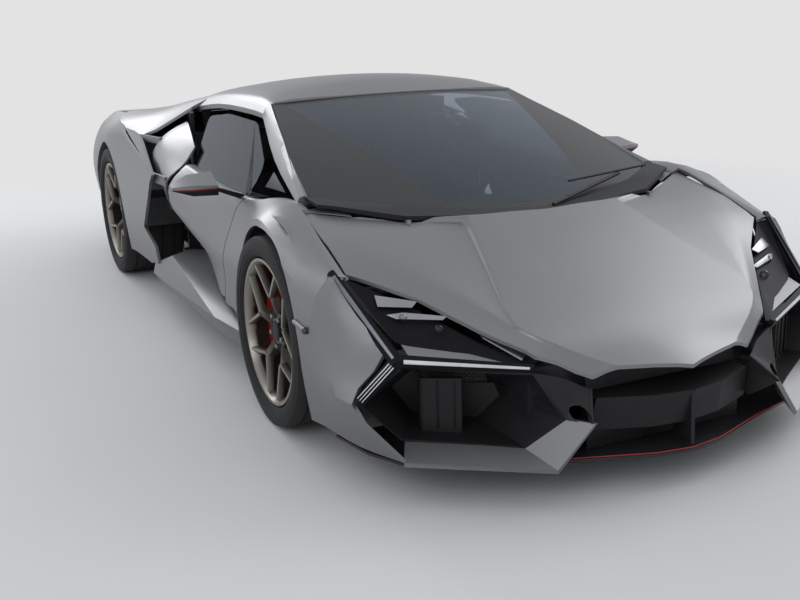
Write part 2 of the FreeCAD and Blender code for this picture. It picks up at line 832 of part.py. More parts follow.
def flank():
    """The side of the nose, ahead of the wing."""
    shape = skin([[point(*p) for p in row] for row in FLANK_TABLE], SKIN_T, FLANK_INWARD)
    return shape.common(box(BUMPER_CUT_X, 2400, 400, 1100, 100, 700))


def lip_blade():
    """The lip under the side intake, which turns up at its inner end."""
    rings = []
    for rear, front, (dx, dy, dz) in LIP_TABLE:
        a, b = point(*rear), point(*front)
        t = V(dx, dy, dz)
        rings.append([a, b, b + t, a + t])
    return tube(rings)


def lens_blade():
    """The painted blade that stands over the lamp's level arm."""
    face = [point(*p) for p in BLADE]
    return tube([face, [p + V(-10, -6, -8) for p in face]])


def ridge(a, b, out, width_a, width_b, height):
    """A bar with a ridge along its outer face."""
    a, b = point(*a), point(*b)
    side = (b - a).cross(out).normalize()
    rings = []
    for p, w in ((a, width_a), (b, width_b)):
        rings.append([p + side * (w / 2), p + out * height, p - side * (w / 2), p - out * (height * 0.8)])
    return tube(rings)


def headlamp():
    """One lamp: three arms that meet in a fork, and the dark lens behind them."""
    out = V(0.74, 0.56, 0.37)
    arms = [
        ridge(LAMP_TAIL, LAMP_FORK, out, 26, 44, 13),
        ridge(LAMP_FORK, LAMP_TIP, out, 44, 26, 13),
        ridge(LAMP_FORK, LAMP_FOOT, out, 44, 34, 13),
    ]
    lens = [[point(*p) for p in row] for row in LENS_TABLE]
    plate = sheet(lens, [[p + V(-6, -4, -8) for p in row] for row in lens])
    return fuse([*arms, plate])


def grown(ring, by):
    """A ring moved out from its middle in the front view."""
    middle = sum(ring, V(0, 0, 0)) * (1 / len(ring))
    moved = []
    for p in ring:
        away = V(0, p.y - middle.y, p.z - middle.z).normalize()
        moved.append(p + away * by)
    return moved


def intake_duct():
    """The funnel behind the side intake, and the louvre that stands in it."""
    mouth = [point(*p) for p in INTAKE_MOUTH]
    rear = [point(*p) for p in INTAKE_REAR]
    front_face = [m + (m - r) * 0.1 for m, r in zip(mouth, rear)]
    rear_face = [r + (m - r) * 0.06 for m, r in zip(mouth, rear)]
    hollow = tube([front_face, rear_face])
    shell = tube([grown(mouth, 8), grown(rear, 8)])
    return [shell.cut(hollow), prism_z(LOUVRE, 180, 360).common(hollow)]


def nose_frame(others):
    """The black structure of the nose in bolted parts: those in the middle, then those of the left side."""
    ledge = tube([[point(*top) for top, _ in LEDGE_TABLE], [point(*low) for _, low in LEDGE_TABLE]])
    keel = prism_y([(2380, 300), (2456, 300), (2464, FLOOR_Z + PLATE_T), (2380, FLOOR_Z + PLATE_T)], 0, 7)
    back = box(2262, 2292, 0, 300, 262, 372)
    cheek = [point(*p) for p in CHEEK]
    cheek = tube([cheek, [p + V(*CHEEK_STEP) for p in cheek]])
    wall = [point(*p) for p in INNER_WALL]
    wall = tube([wall, [p + V(0, INNER_WALL_T, 0) for p in wall]])
    x, y, z = FRONT_TOW
    tow_hole = rod((x, y, z), (x + 300, y, z), TOW_R + 14)
    parts = []
    for shape in [ledge, keel, back, wall, cheek, *intake_duct()]:
        for other in [*parts, *others, tow_hole]:
            shape = shape.cut(other)
        parts.append(shape)
    return [shape.fuse(mirror(shape)).removeSplitter() for shape in parts[:3]], parts[3:]


def splitter():
    return prism_z(mirrored(SPLITTER_OUTLINE), FLOOR_Z - PLATE_T, FLOOR_Z)


def hood_arm():
    """Goose-neck arm: a bar from the pin's eye to an arc that always passes through the same slot."""
    x, z = HOOD_HINGE_X, HOOD_HINGE_Z
    width = 16.0
    y0 = HOOD_ARM_Y - width / 2
    y1 = HOOD_ARM_Y + width / 2
    ring = drum(x, y0, y1, z, HOOD_ARM_R + 10).cut(drum(x, y0, y1, z, HOOD_ARM_R - 10))
    rays = [(x + 900 * math.cos(a), z + 900 * math.sin(a)) for a in (math.radians(1), math.radians(-42))]
    ring = ring.common(prism_y([(x, z), *rays], 0, 900))
    foot = math.radians(-40)
    low = (x + HOOD_ARM_R * math.cos(foot), HOOD_ARM_Y, z + HOOD_ARM_R * math.sin(foot))
    pieces = [ring, rod((x, HOOD_ARM_Y, z), low, 6), drum(x, y0, y1, z, 18)]
    return fuse(pieces).cut(drum(x, 400, 600, z, LID_PIN_R + LID_PIN_GAP))


def hood():
    fold_row = [x for x, *row in HOOD_TABLE].index(1640)
    panel = skin(stations(HOOD_TABLE), HOOD_T, row_folds=(fold_row,), folds=(1, 2, 3))
    half = panel.common(prism_z(HOOD_OUTLINE, 0, 1200)).fuse(hood_arm())
    return half.fuse(mirror(half)).removeSplitter()


def hood_gap():
    """The hood's outline grown by the shut gap, as a block that its neighbours are cut by."""
    outline = Part.Face(polygon([point(x, y, 300) for x, y in mirrored(HOOD_OUTLINE)]))
    return outline.makeOffset2D(HOOD_GAP, 2).extrude(V(0, 0, 900))


def arc_line(a, b, c, count):
    """Evenly spaced points of the arc through three points."""
    return Part.Arc(point(*a), point(*b), point(*c)).toShape().discretize(count)


def windscreen():
    base = arc_line((1210, -780, 806), (1600, 0, 735), (1210, 780, 806), 13)
    top = arc_line((424, -599, 1075), (485, 0, 1097), (424, 599, 1075), 13)
    middle = [(a + b) * 0.5 + V(0, 0, 10) for a, b in zip(base, top)]
    rows = net([base, middle, top], 2, 1)
    return sheet(rows, [[p - V(0, 0, GLASS_T) for p in row] for row in rows])


def rear_window():
    """The pane between the cabin and the engine, stood on the bulkhead."""
    return box(-584, -584 + GLASS_T, -500, 500, 700, 1150)


def cowl():
    """The black scuttle between the hood and the windscreen."""
    base = [(1600, 0), (1560, 260), (1450, 520), (1325, 690), (1225, 775)]
    front = [(1375, 775), (1440, 690), (1560, 520), (1618, 260), (1638, 0)]
    deck = tube([place(x, [(0, z0), (800, z1), (800, z1 - 12), (0, z0 - 12)]) for x, z0, z1 in COWL_TABLE])
    half = prism_z(base + front, 0, 1200).common(deck)
    return half.fuse(mirror(half)).removeSplitter()


def roof_skin():
    """The roof, and the deck that runs back from it to the haunches."""
    panel = skin(stations(ROOF_TABLE), ROOF_T)
    arc = arc_line((424, -599, 900), (488, 0, 900), (424, 599, 900), 13)
    ends = [point(424, 900, 900), point(900, 900, 900), point(900, -900, 900), point(424, -900, 900)]
    front = Part.Face(polygon(arc + ends)).extrude(V(0, 0, 400))
    pillar = tube(smooth_rings(PILLAR_TABLE))
    deck = skin(stations(DECK_TABLE), DECK_T)
    half = fuse([panel.cut(front), pillar, deck])
    return half.fuse(mirror(half)).removeSplitter()


def smooth_rings(table):
    """The rings of a table with finer ones between them."""
    rings = stations(table)
    columns = [smooth([ring[j] for ring in rings], ALONG_STEPS) for j in range(len(rings[0]))]
    return [[column[i] for column in columns] for i in range(len(columns[0]))]


def door_outline():
    return prism_y(DOOR_OUTLINE, 0, 1200)


def hinge_point(along):
    """A point on the door's hinge axis, by its distance along the axis from the hinge's middle."""
    x, y, z = DOOR_HINGE
    return (x, y + along * math.cos(DOOR_LEAN), z - along * math.sin(DOOR_LEAN))


def side_glass():
    """Frameless side window, flat and leaned in with the cabin."""
    face = [point(x, GLASS_BASE_Y - (z - GLASS_BASE_Z) * GLASS_LEAN, z) for x, z in GLASS_OUTLINE]
    return Part.Face(polygon(face)).extrude(V(0, -GLASS_T, -GLASS_T * GLASS_LEAN))


def door():
    rings = []
    for row in net(stations(SIDE_TABLE[DOOR_ROWS])):
        tuck = row[-1 - ACROSS_STEPS]
        rings.append(row + [p - V(0, DOOR_T, 0) for p in (row[-1], tuck, row[0] - V(0, 0, 8))])
    body = tube(rings).common(door_outline())
    eye = rod(hinge_point(-8), hinge_point(8), 16)
    arm = rod(hinge_point(0), (655, 884, 480), 8)
    shape = fuse([body, arm, eye])
    shape = shape.cut(rod(hinge_point(-40), hinge_point(40), DOOR_PIN_R + RUNNING_GAP))
    return shape.cut(side_glass())


def door_mirror():
    """Door mirror: a housing drawn back to a point on a flat arm."""
    housing = tube([[point(x, y, z) for x, z in ring] for y, *ring in MIRROR_TABLE])
    root = [point(x, 852, z) for x, z in ((765, 728), (765, 752), (690, 752), (690, 728))]
    tip = [point(x, 968, z) for x, z in ((750, 776), (750, 792), (690, 792), (690, 776))]
    return fuse([housing, tube([root, tip])])


def quarter():
    """Rear wing: haunch, arch and the edge that stands proud behind the intake."""
    space, liner = well("rear", ARCH_GAP, REAR_LINER_Y)
    shape = skin(stations(QUARTER_TABLE), SKIN_T, SIDE_INWARD).common(prism_y(QUARTER_OUTLINE, 0, 1100))
    edge = tube([[point(*p) for p in EDGE_FRONT], [point(*p) for p in EDGE_REAR]])
    return fuse([shape.cut(lip_arch("rear")).cut(space), edge, liner.cut(shape)])


def side_duct():
    """The fixed panel behind the door that leads air into the intake."""
    panel = skin(stations(DUCT_TABLE), 10, DUCT_INWARD)
    upper = bar((-930, 898, 838), (-580, 868, 846), 14, 34)
    lower = bar((-330, 988, 706), (-190, 948, 692), 14, 44)
    return fuse([panel, upper, lower])


def duct_wall():
    """The black wall inside the side intake, low beside the door and high ahead of the rear wheel."""
    low = prism_z([(-170, 770), (-200, 790), (-570, 712), (-570, 690)], 250, 690)
    high = prism_z([(-490, 730), (-490, 710), (-1010, 590), (-1010, 610)], 250, 985)
    return fuse([low, high])


def sill():
    return tube(stations(SILL_TABLE))


def engine_cover():
    """The louvred lid over the engine."""
    half = skin(stations(COVER_TABLE), 26)
    for x in COVER_SLOTS:
        half = half.cut(prism_z([(x, 60), (x - 110, 60), (x - 150, 330), (x - 40, 330)], 700, 1200))
    pieces = [half, mirror(half)]
    for y0 in (COVER_EYE_Y, -COVER_EYE_Y):
        pieces.append(drum(COVER_HINGE_X, y0 - 12, y0 + 12, COVER_HINGE_Z, 16))
        arm_z = COVER_HINGE_Z - 8
        pieces.append(box(COVER_HINGE_X - 70, COVER_HINGE_X, y0 - 10, y0 + 10, arm_z, arm_z + 26))
    return fuse(pieces).cut(drum(COVER_HINGE_X, -900, 900, COVER_HINGE_Z, LID_PIN_R + LID_PIN_GAP))


def rear_wing():
    """The wing that lies flush between the haunches and tips up at its rear edge."""
    blade = prism_y([(-2010, 894), (-2420, 876), (-2445, 858), (-2420, 852), (-2010, 868)], -725, 725)
    pieces = [blade]
    for y0 in (WING_EYE_Y, -WING_EYE_Y):
        pieces.append(drum(WING_HINGE_X, y0 - 12, y0 + 12, WING_HINGE_Z, 16))
        pieces.append(box(WING_HINGE_X - 12, WING_HINGE_X + 12, y0 - 10, y0 + 10, WING_HINGE_Z, 876))
    return fuse(pieces).cut(drum(WING_HINGE_X, -900, 900, WING_HINGE_Z, LID_PIN_R + LID_PIN_GAP))


def tail_panel():
    """The dark rear face between the wings, cut for its grilles and the exhaust."""
    side = [(864, 350), (910, 480), (919, 640), (858, 786), (768, 862), (735, 866), (735, 838)]
    half = [(0, 350), *side, (0, 838)]
    outline = half + [(-y, z) for y, z in half[::-1] if y]
    face = prism_x(outline, -2380, -2360)
    for way in (-1, 1):
        grille = [(way * 300, 500), (way * 780, 470), (way * 800, 620), (way * 300, 620)]
        face = face.cut(prism_x(grille, -2470, -2300))
    return face.cut(prism_x([(-230, 560), (230, 560), (250, 700), (-250, 700)], -2470, -2300))


def tail_lamps():
    """Three-armed lamps on the rear face, two to a side."""
    lamps = []
    for y0 in (430, 700):
        arms = []
        for turn in (0, 120, 240):
            arm = box(-2392, -2380, -70 if turn == 0 else -60, 0, -9, 9)
            arm.rotate(V(0, 0, 0), V(1, 0, 0), turn)
            arm.translate(V(0, y0, 740))
            arms.append(arm)
        lamps.append(fuse(arms))
    return Part.makeCompound(lamps + [mirror(lamp) for lamp in lamps])


def diffuser():
    slope = [(-1860, 112), (-1860, 124), (-2380, 352), (-2400, 352), (-2400, 340), (-2350, 320)]
    ramp = prism_y(slope, -860, 860)
    fin = [(-1990, 170), (-2440, 170), (-2473.5, 330), (-2380, 350)]
    return fuse([ramp, *[prism_y(fin, y - 5, y + 5) for y in DIFFUSER_FINS]])


def underfloor():
    half = [
        (2060, 0),
        (2060, 540),
        (1780, 540),
        (925, 540),
        (925, 790),
        (-560, 790),
        (-1000, 560),
        (-1860, 560),
        (-1860, 0),
    ]
    return prism_z(mirrored(half), FLOOR_Z - PLATE_T, FLOOR_Z)


def hexagon(y0, z0, half_width, half_height):
    angles = [i * math.pi / 3 for i in range(6)]
    return [(y0 + half_width * math.cos(a), z0 + half_height * math.sin(a)) for a in angles]


def exhaust():
    """Two six-sided tail pipes, high in the middle, joined by a silencer."""
    pieces = [box(-2300, -2080, -300, 300, 560, 720)]
    for y0 in (-110, 110):
        pipe = prism_x(hexagon(y0, 630, 75, 62), -2430, -2300)
        pieces.append(pipe.cut(prism_x(hexagon(y0, 630, 66, 54), -2431, -2310)))
    return fuse(pieces)


# cabin, engine and frame


def frame_half():
    """Left half of the carbon tub with its front and rear frames."""
    rail_z = 360
    bulkhead = 905
    lid_pins = [
        drum(HOOD_HINGE_X, 460, 536, HOOD_HINGE_Z, LID_PIN_R),
        drum(COVER_HINGE_X, COVER_EYE_Y - 16, COVER_EYE_Y + 20, COVER_HINGE_Z, LID_PIN_R),
        drum(WING_HINGE_X, WING_EYE_Y - 16, WING_EYE_Y + 20, WING_HINGE_Z, LID_PIN_R),
    ]
    return [
        box(-560, 1560, -0.5, 440, FLOOR_Z, FLOOR_Z + 22),
        box(-590, bulkhead + 20, 440, 800, FLOOR_Z, FLOOR_Z + 22),
        box(-590, -560, -0.5, 770, FLOOR_Z, 700),
        box(-590, bulkhead + 20, 640, 800, FLOOR_Z, 276),
        box(bulkhead, 1590, 440, FRONT_BOX_Y, FLOOR_Z, 640),
        box(1000, 1290, 440, FRONT_BOX_Y, 640, HOOD_HINGE_Z + 12),
        box(bulkhead, bulkhead + 20, 440, 800, FLOOR_Z, 560),
        box(1560, 1590, -0.5, FRONT_BOX_Y, FLOOR_Z, 640),
        box(1560, 2230, 400, FRONT_BOX_Y, 240, 400),
        box(2230, 2262, -0.5, FRONT_BOX_Y, 240, 390),
        box(1580, 2240, -0.5, 410, 240, 250),
        box(-2330, -560, 330, REAR_RAIL_Y, rail_z, 440),
        box(-1660, -1200, REAR_RAIL_Y - 12, REAR_RAIL_Y, 200, 500),
        box(-2360, -2330, -0.5, 700, rail_z, 440),
        box(836, 866, 640, 780, 260, 722),
        box(-2115, -2085, WING_EYE_Y + 18, WING_EYE_Y + 38, 440, WING_HINGE_Z + 18),
        box(-2115, -2085, WING_EYE_Y + 18, REAR_RAIL_Y, 420, 460),
        box(-652, -560, COVER_EYE_Y + 16, COVER_EYE_Y + 36, 640, COVER_HINGE_Z + 10),
        rod(hinge_point(-40), hinge_point(16), DOOR_PIN_R),
        *lid_pins,
    ]


def reach(arm, target):
    """A bracket that ends where it meets the inside of a panel."""
    return max(arm.cut(target).Solids, key=lambda solid: solid.Volume)


def brackets(panels):
    """Bars from the frame to the panels that it carries."""
    bars = [
        (box(1860, 1890, FRONT_BOX_Y - 10, 1050, 300, 340), "front_bumper"),
        (box(1775, 1800, FRONT_BOX_Y - 10, 1050, 360, 390), "front_fender"),
        (box(905, 925, 790, 1050, 500, 540), "front_fender"),
        (box(1565, 1585, 240, 280, 640, 760), "cowl"),
        (box(1180, 1230, FRONT_BOX_Y - 10, 790, 738, 758), "roof"),
        (box(-590, -560, 600, 640, 690, 1100), "roof"),
        (box(-590, -560, 760, 1050, 560, 600), "rear_quarter"),
        (box(-1900, -1860, REAR_RAIL_Y, 1050, 380, 420), "rear_quarter"),
        (box(-590, -560, 700, 900, 660, 700), "side_ducts"),
        (box(-2350, -2340, 500, 540, 300, 380), "diffuser"),
        (box(-2200, -2180, WING_EYE_Y, 340, 440, 610), "exhaust"),
    ]
    return [reach(arm, panels[name]) for arm, name in bars]


def monocoque(panels, others):
    """The tub, its bolted front and rear frames, the duct walls and the brackets, cut clear of the rest."""
    half = fuse(frame_half())
    frame = half.fuse(mirror(half)).removeSplitter()
    for shape in others:
        frame = frame.cut(shape).cut(mirror(shape))
    parts = []
    for x0, x1 in zip(FRAME_JOINTS, FRAME_JOINTS[1:]):
        parts.append(frame.common(box(x0, x1, -1200, 1200, 0, 1200)))
    for shape in [duct_wall(), *brackets(panels)]:
        for other in [frame, *others]:
            shape = shape.cut(other)
        parts += [shape, mirror(shape)]
    return Part.makeCompound(parts)


def dashboard():
    top = prism_y([(1040, 690), (1500, 700), (1540, 660), (1540, 620), (1180, 600), (1040, 620)], -440, 440)
    outline = [(1180, 610), (1040, 560), (100, 430), (-300, 430), (-300, 140), (1180, 140)]
    console = prism_y(outline, -110, 110)
    return fuse([top, console])


def seats():
    """Two bucket seats."""
    front = [(560, 140), (580, 330), (480, 350), (90, 290), (-130, 640), (-210, 930)]
    side = [*front, (-290, 920), (-240, 640), (-110, 140)]
    inside = [(700, 360), (700, 520), (500, 420), (100, 350), (-60, 640), (-130, 960), (300, 960)]
    return both(prism_y(side, 140, 600).cut(prism_y(inside, 190, 550)))


def steering_wheel():
    """A flat-bottomed wheel of eight-sided section on its column."""
    ring_r, grip = 170.0, 15.0
    section = [i * math.pi / 4 + math.pi / 8 for i in range(8)]
    ring = revolved([(grip * math.sin(a), ring_r + grip * math.cos(a)) for a in section])
    ring.rotate(V(0, 0, 0), V(1, 0, 0), 90)
    bars = [
        Part.makeCylinder(48, 34, V(0, 0, -24)),
        Part.makeBox(160, 28, 12, V(0, -14, -16)),
        Part.makeBox(160, 28, 12, V(-160, -14, -16)),
        Part.makeBox(28, 160, 12, V(-14, -160, -16)),
    ]
    wheel = fuse([ring, *bars])
    wheel.rotate(V(0, 0, 0), V(0, 0, 1), -90)
    wheel.rotate(V(0, 0, 0), V(0, 1, 0), -68)
    wheel.translate(point(820, 370, 640))
    return fuse([wheel, rod((840, 370, 632), (1060, 370, 640), 24)])


def engine():
    block = box(-1750, -760, -300, 300, 160, 620)
    top = box(-1650, -800, -240, 240, 620, 800)
    return fuse([block, top])


def wiper():
    arm = rod((1606, 60, 741), (1440, 480, 800), 7)
    blade = rod((1400, 640, 815), (1500, 200, 802), 5)
    return fuse([arm, blade])


def tow_sockets():
    """Threaded sockets for a towing eye, one on the front beam and one on the rear."""
    x, y, z = FRONT_TOW
    front = rod((x + 12, y, z), (x + 80, y, z), 2 * TOW_R).cut(rod((x + 40, y, z), (x + 90, y, z), TOW_R))
    x, y, z = REAR_TOW
    rear = rod((x, y, z), (x - 50, y, z), 2 * TOW_R).cut(rod((x - 10, y, z), (x - 60, y, z), TOW_R))
    return Part.makeCompound([front, rear])


def main():
    os.makedirs("parts", exist_ok=True)
    make_wheels()
    save_pair("knuckle_front", knuckle("front", 180))
    rear_knuckles = both(knuckle("rear", 0))
    save("knuckles_rear", rear_knuckles)
    power_unit = engine()
    arms = suspension_arms().cut(power_unit).cut(rear_knuckles)
    hood_space = hood_gap()
    glass = windscreen()
    roof = roof_skin().cut(glass)
    pane = reach(rear_window(), roof)
    lamp = headlamp().cut(hood_space)
    blade = lens_blade().cut(hood_space)
    pieces = {
        "headlamps": lamp.cut(blade),
        "front_bumper": fuse([flank(), lip_blade()]).cut(hood_space).cut(lamp),
        "front_fender": fender().cut(hood_space),
        "roof": roof,
        "cowl": fuse([cowl(), wiper()]).cut(glass).cut(roof),
        "rear_quarter": quarter().cut(roof),
        "side_ducts": side_duct(),
        "tail_panel": tail_panel(),
        "diffuser": diffuser(),
        "exhaust": exhaust(),
    }
    pieces["front_fender"] = pieces["front_fender"].cut(roof).cut(pieces["cowl"]).cut(lamp)
    pieces["side_ducts"] = pieces["side_ducts"].cut(roof).cut(pieces["rear_quarter"])
    middle, sides = nose_frame([hood_space, pieces["headlamps"], pieces["front_bumper"], blade])
    sockets = both(tow_sockets())
    pieces["tail_panel"] = pieces["tail_panel"].cut(sockets).cut(pieces["diffuser"])
    save("monocoque", monocoque(pieces, [*pieces.values(), *middle, *sides, sockets, pane, arms]))
    save("nose_frame", Part.makeCompound([*middle, *sides, *map(mirror, sides)]))
    save("front_bumper", both(Part.makeCompound([pieces["front_bumper"], blade])))
    save("headlamps", both(pieces["headlamps"]))
    for name in ("roof", "cowl", "tail_panel", "diffuser", "exhaust"):
        save(name, pieces[name])
    save_pair("front_fender", pieces["front_fender"])
    save_pair("rear_quarter", pieces["rear_quarter"])
    save("side_ducts", both(pieces["side_ducts"]))
    save("windscreen", Part.makeCompound([glass, pane]))
    save("front_splitter", splitter())
    save("underfloor", underfloor())
    save("sills", both(sill().cut(pieces["rear_quarter"])))
    save("tail_lamps", tail_lamps())
    dash = dashboard()
    save("dashboard", dash)
    save("seats", seats())
    save("steering_wheel", steering_wheel().cut(dash))
    save("engine", power_unit)
    save("tow_sockets", sockets)
    save("suspension_arms", arms)
    save("hood", hood())
    leaf = door()
    save_pair("door", leaf)
    save_pair("door_glass", side_glass())
    save_pair("door_mirror", door_mirror().cut(leaf))
    save("engine_cover", engine_cover())
    save("rear_wing", rear_wing())


main()
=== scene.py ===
import bpy
import json
import math
from mathutils import Matrix, Vector


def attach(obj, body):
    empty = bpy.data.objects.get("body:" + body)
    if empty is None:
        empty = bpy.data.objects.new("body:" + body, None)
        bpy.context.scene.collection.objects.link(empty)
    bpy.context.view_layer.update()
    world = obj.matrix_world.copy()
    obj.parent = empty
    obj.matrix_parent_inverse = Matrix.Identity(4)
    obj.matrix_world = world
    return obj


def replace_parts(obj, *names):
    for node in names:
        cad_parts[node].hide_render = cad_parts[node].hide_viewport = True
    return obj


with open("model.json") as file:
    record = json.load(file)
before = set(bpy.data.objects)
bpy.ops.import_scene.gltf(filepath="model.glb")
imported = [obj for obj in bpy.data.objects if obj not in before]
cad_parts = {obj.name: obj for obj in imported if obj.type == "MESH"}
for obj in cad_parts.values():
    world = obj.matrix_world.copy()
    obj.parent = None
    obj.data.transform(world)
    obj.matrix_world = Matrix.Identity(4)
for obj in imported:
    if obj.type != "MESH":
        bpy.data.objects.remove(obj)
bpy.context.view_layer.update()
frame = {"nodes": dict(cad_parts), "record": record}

nodes = frame["nodes"]
record = frame["record"]
slotOf = {part["node"]: part["material_slot"] for part in record["subparts"]}
bodyOf = {name: body for body, names in record["behaviour"]["bodies"].items() for name in names}
jointAt = {joint["name"]: joint["pos_m"] for joint in record["behaviour"]["joints"]}
axles = {axle: jointAt[f"{axle}_spin_left"] for axle in ("front", "rear")}
print("frame loaded:", len(nodes), "nodes")


# shader helpers: a socket that takes part in sums, and a finish that grows its own nodes
class Socket:
    def __init__(self, finish, link):
        self.finish = finish
        self.link = link

    def maths(self, operation, first, second=0.0):
        return self.finish.node("ShaderNodeMath", {"operation": operation}, {0: first, 1: second})

    def __add__(self, other):
        return self.maths("ADD", self, other)

    __radd__ = __add__

    def __sub__(self, other):
        return self.maths("SUBTRACT", self, other)

    def __rsub__(self, other):
        return self.maths("SUBTRACT", other, self)

    def __mul__(self, other):
        return self.maths("MULTIPLY", self, other)

    __rmul__ = __mul__

    def above(self, edge):
        return self.maths("GREATER_THAN", self, edge)

    def below(self, edge):
        return self.maths("LESS_THAN", self, edge)

    def atLeast(self, limit):
        return self.maths("MAXIMUM", self, limit)

    def atMost(self, limit):
        return self.maths("MINIMUM", self, limit)

    def wrapped(self, size):
        return self.maths("FLOORED_MODULO", self, size)

    def sized(self):
        return self.maths("ABSOLUTE", self)

    def rooted(self):
        return self.maths("SQRT", self)


class Finish:
    def __init__(self, name, **fixed):
        self.material = bpy.data.materials.new(name)
        self.material.use_nodes = True
        self.tree = self.material.node_tree
        self.shader = self.tree.nodes["Principled BSDF"]
        for socket, value in fixed.items():
            self.shader.inputs[socket.replace("_", " ")].default_value = value

    def node(self, kind, settings, values, output=0):
        made = self.tree.nodes.new(kind)
        for name, value in settings.items():
            setattr(made, name, value)
        for socket, value in values.items():
            if isinstance(value, Socket):
                self.tree.links.new(value.link, made.inputs[socket])
            elif isinstance(value, tuple) and kind == "ShaderNodeMix":
                made.inputs[socket].default_value = (*value, 1)
            else:
                made.inputs[socket].default_value = value
        return Socket(self, made.outputs[output])

    def place(self):
        return self.node("ShaderNodeTexCoord", {}, {}, "Object")

    def along(self, axis):
        return self.node("ShaderNodeSeparateXYZ", {}, {0: self.place()}, axis)

    def noise(self, scale, detail=2.0):
        values = {"Vector": self.place(), "Scale": scale, "Detail": detail}
        return self.node("ShaderNodeTexNoise", {}, values)

    def mix(self, factor, first, second):
        return self.node("ShaderNodeMix", {"data_type": "RGBA"}, {0: factor, 6: first, 7: second}, 2)

    def span(self, value, start, end, **settings):
        values = {"Value": value, "From Min": start, "From Max": end}
        return self.node("ShaderNodeMapRange", settings, values)

    def wear(self, **links):
        for socket, value in links.items():
            self.tree.links.new(value.link, self.shader.inputs[socket.replace("_", " ")])

    def bump(self, height, strength, distance):
        values = {"Strength": strength, "Distance": distance, "Height": height}
        self.wear(Normal=self.node("ShaderNodeBump", {}, values))

    def blend(self, factor, other):
        own = Socket(self, self.shader.outputs[0])
        both = self.node("ShaderNodeMixShader", {}, {0: factor, 1: own, 2: other})
        self.tree.links.new(both.link, self.tree.nodes["Material Output"].inputs["Surface"])


def shaded(shade, by):
    return tuple(min(c * by, 1.0) for c in shade)


# satin metallic body paint, with flakes and a little road dust low down
paintLook = {
    "light": (0.27, 0.272, 0.28),
    "dark": (0.215, 0.217, 0.225),
    "flakeScale": 1400.0,
    "flakeShare": 0.6,
    "flakeBump": (0.03, 0.0002),  # strength and height in metres, as for all bumps
    "cloudScale": 3.0,
    "cloudRough": 0.05,
    "rough": 0.37,
    "dust": (0.2, 0.19, 0.175),
    "dustHeight": 0.42,
    "dustScale": 9.0,
    "dustAmount": 0.9,
    "dustRough": 0.4,
}


def bodyPaint(name="satinGreyPaint"):
    look = paintLook
    finish = Finish(name, Metallic=0.78, Coat_Weight=0.06, Coat_Roughness=0.4)
    flakes = finish.noise(look["flakeScale"], 1.0)
    clouds = finish.noise(look["cloudScale"], 3.0)
    low = (look["dustHeight"] - finish.along(2)) * finish.noise(look["dustScale"], 4.0) * look["dustAmount"]
    dusty = low.atLeast(0.0)
    mottle = flakes * look["flakeShare"] + clouds * (1 - look["flakeShare"])
    coat = finish.mix(mottle, look["dark"], look["light"])
    finish.wear(
        Base_Color=finish.mix(dusty, coat, look["dust"]),
        Roughness=clouds * look["cloudRough"] + dusty * look["dustRough"] + look["rough"],
    )
    finish.bump(flakes, *look["flakeBump"])
    return finish


# plastics, rubber and leather: a mottled shade, and a grain that is raised a little
plasticLook = {
    "toneScale": 18.0,
    "darker": 0.8,
    "lighter": 1.25,
    "roughSpread": 0.1,
    "grainBump": (0.12, 0.0004),
}


def plainPlastic(name, shade, rough, grain, **fixed):
    look = plasticLook
    finish = Finish(name, **fixed)
    tone = finish.noise(look["toneScale"], 4.0)
    finish.wear(
        Base_Color=finish.mix(tone, shaded(shade, look["darker"]), shaded(shade, look["lighter"])),
        Roughness=tone * look["roughSpread"] + rough,
    )
    finish.bump(finish.noise(grain), *look["grainBump"])
    return finish


# bare metals: a fine grain in shade and roughness
metalLook = {"metallic": 0.9, "darker": 0.85, "lighter": 1.15, "roughSpread": 0.12}


def metal(name, shade, rough, fineness=260.0):
    look = metalLook
    finish = Finish(name, Metallic=look["metallic"])
    grain = finish.noise(fineness, 3.0)
    finish.wear(
        Base_Color=finish.mix(grain, shaded(shade, look["darker"]), shaded(shade, look["lighter"])),
        Roughness=grain * look["roughSpread"] + rough,
    )
    return finish


# woven carbon of the tub, floor, splitter and diffuser: a fine weave that runs two ways
carbonLook = {
    "pitch": 0.006,
    "lean": 0.7,
    "low": (0.011, 0.011, 0.013),
    "high": (0.032, 0.032, 0.036),
    "rough": 0.33,
    "roughSpread": 0.12,
    "weaveBump": (0.1, 0.0002),
}


def carbonWeave():
    look = carbonLook
    pitch, lean = look["pitch"], look["lean"]
    fixed = {"Coat_Weight": 0.25, "Coat_Roughness": 0.25, "Metallic": 0.1, "Specular_IOR_Level": 0.3}
    finish = Finish("satinCarbon", **fixed)
    x, y, z = (finish.along(i) for i in range(3))
    warp = (x + z * lean).wrapped(pitch).above(pitch / 2)
    weft = (y + z * lean).wrapped(pitch).above(pitch / 2)
    weave = (warp - weft).sized()
    finish.wear(
        Base_Color=finish.mix(weave, look["low"], look["high"]),
        Roughness=weave * look["roughSpread"] + look["rough"],
    )
    finish.bump(weave, *look["weaveBump"])
    return finish


# tinted glass, which mirrors in a blue tone
glassLook = {
    "sheen": (0.55, 0.75, 1.0),
    "clear": (1.0, 1.0, 1.0),
    "rough": 0.02,
    "index": 1.45,
    "toneScale": 2.0,
}


def tintedGlass(name, dark, light, sheen):
    look = glassLook
    fixed = {"Transmission_Weight": 1.0, "Roughness": look["rough"], "IOR": look["index"]}
    finish = Finish(name, Specular_Tint=(*sheen, 1), **fixed)
    finish.wear(Base_Color=finish.mix(finish.noise(look["toneScale"]), dark, light))
    return finish


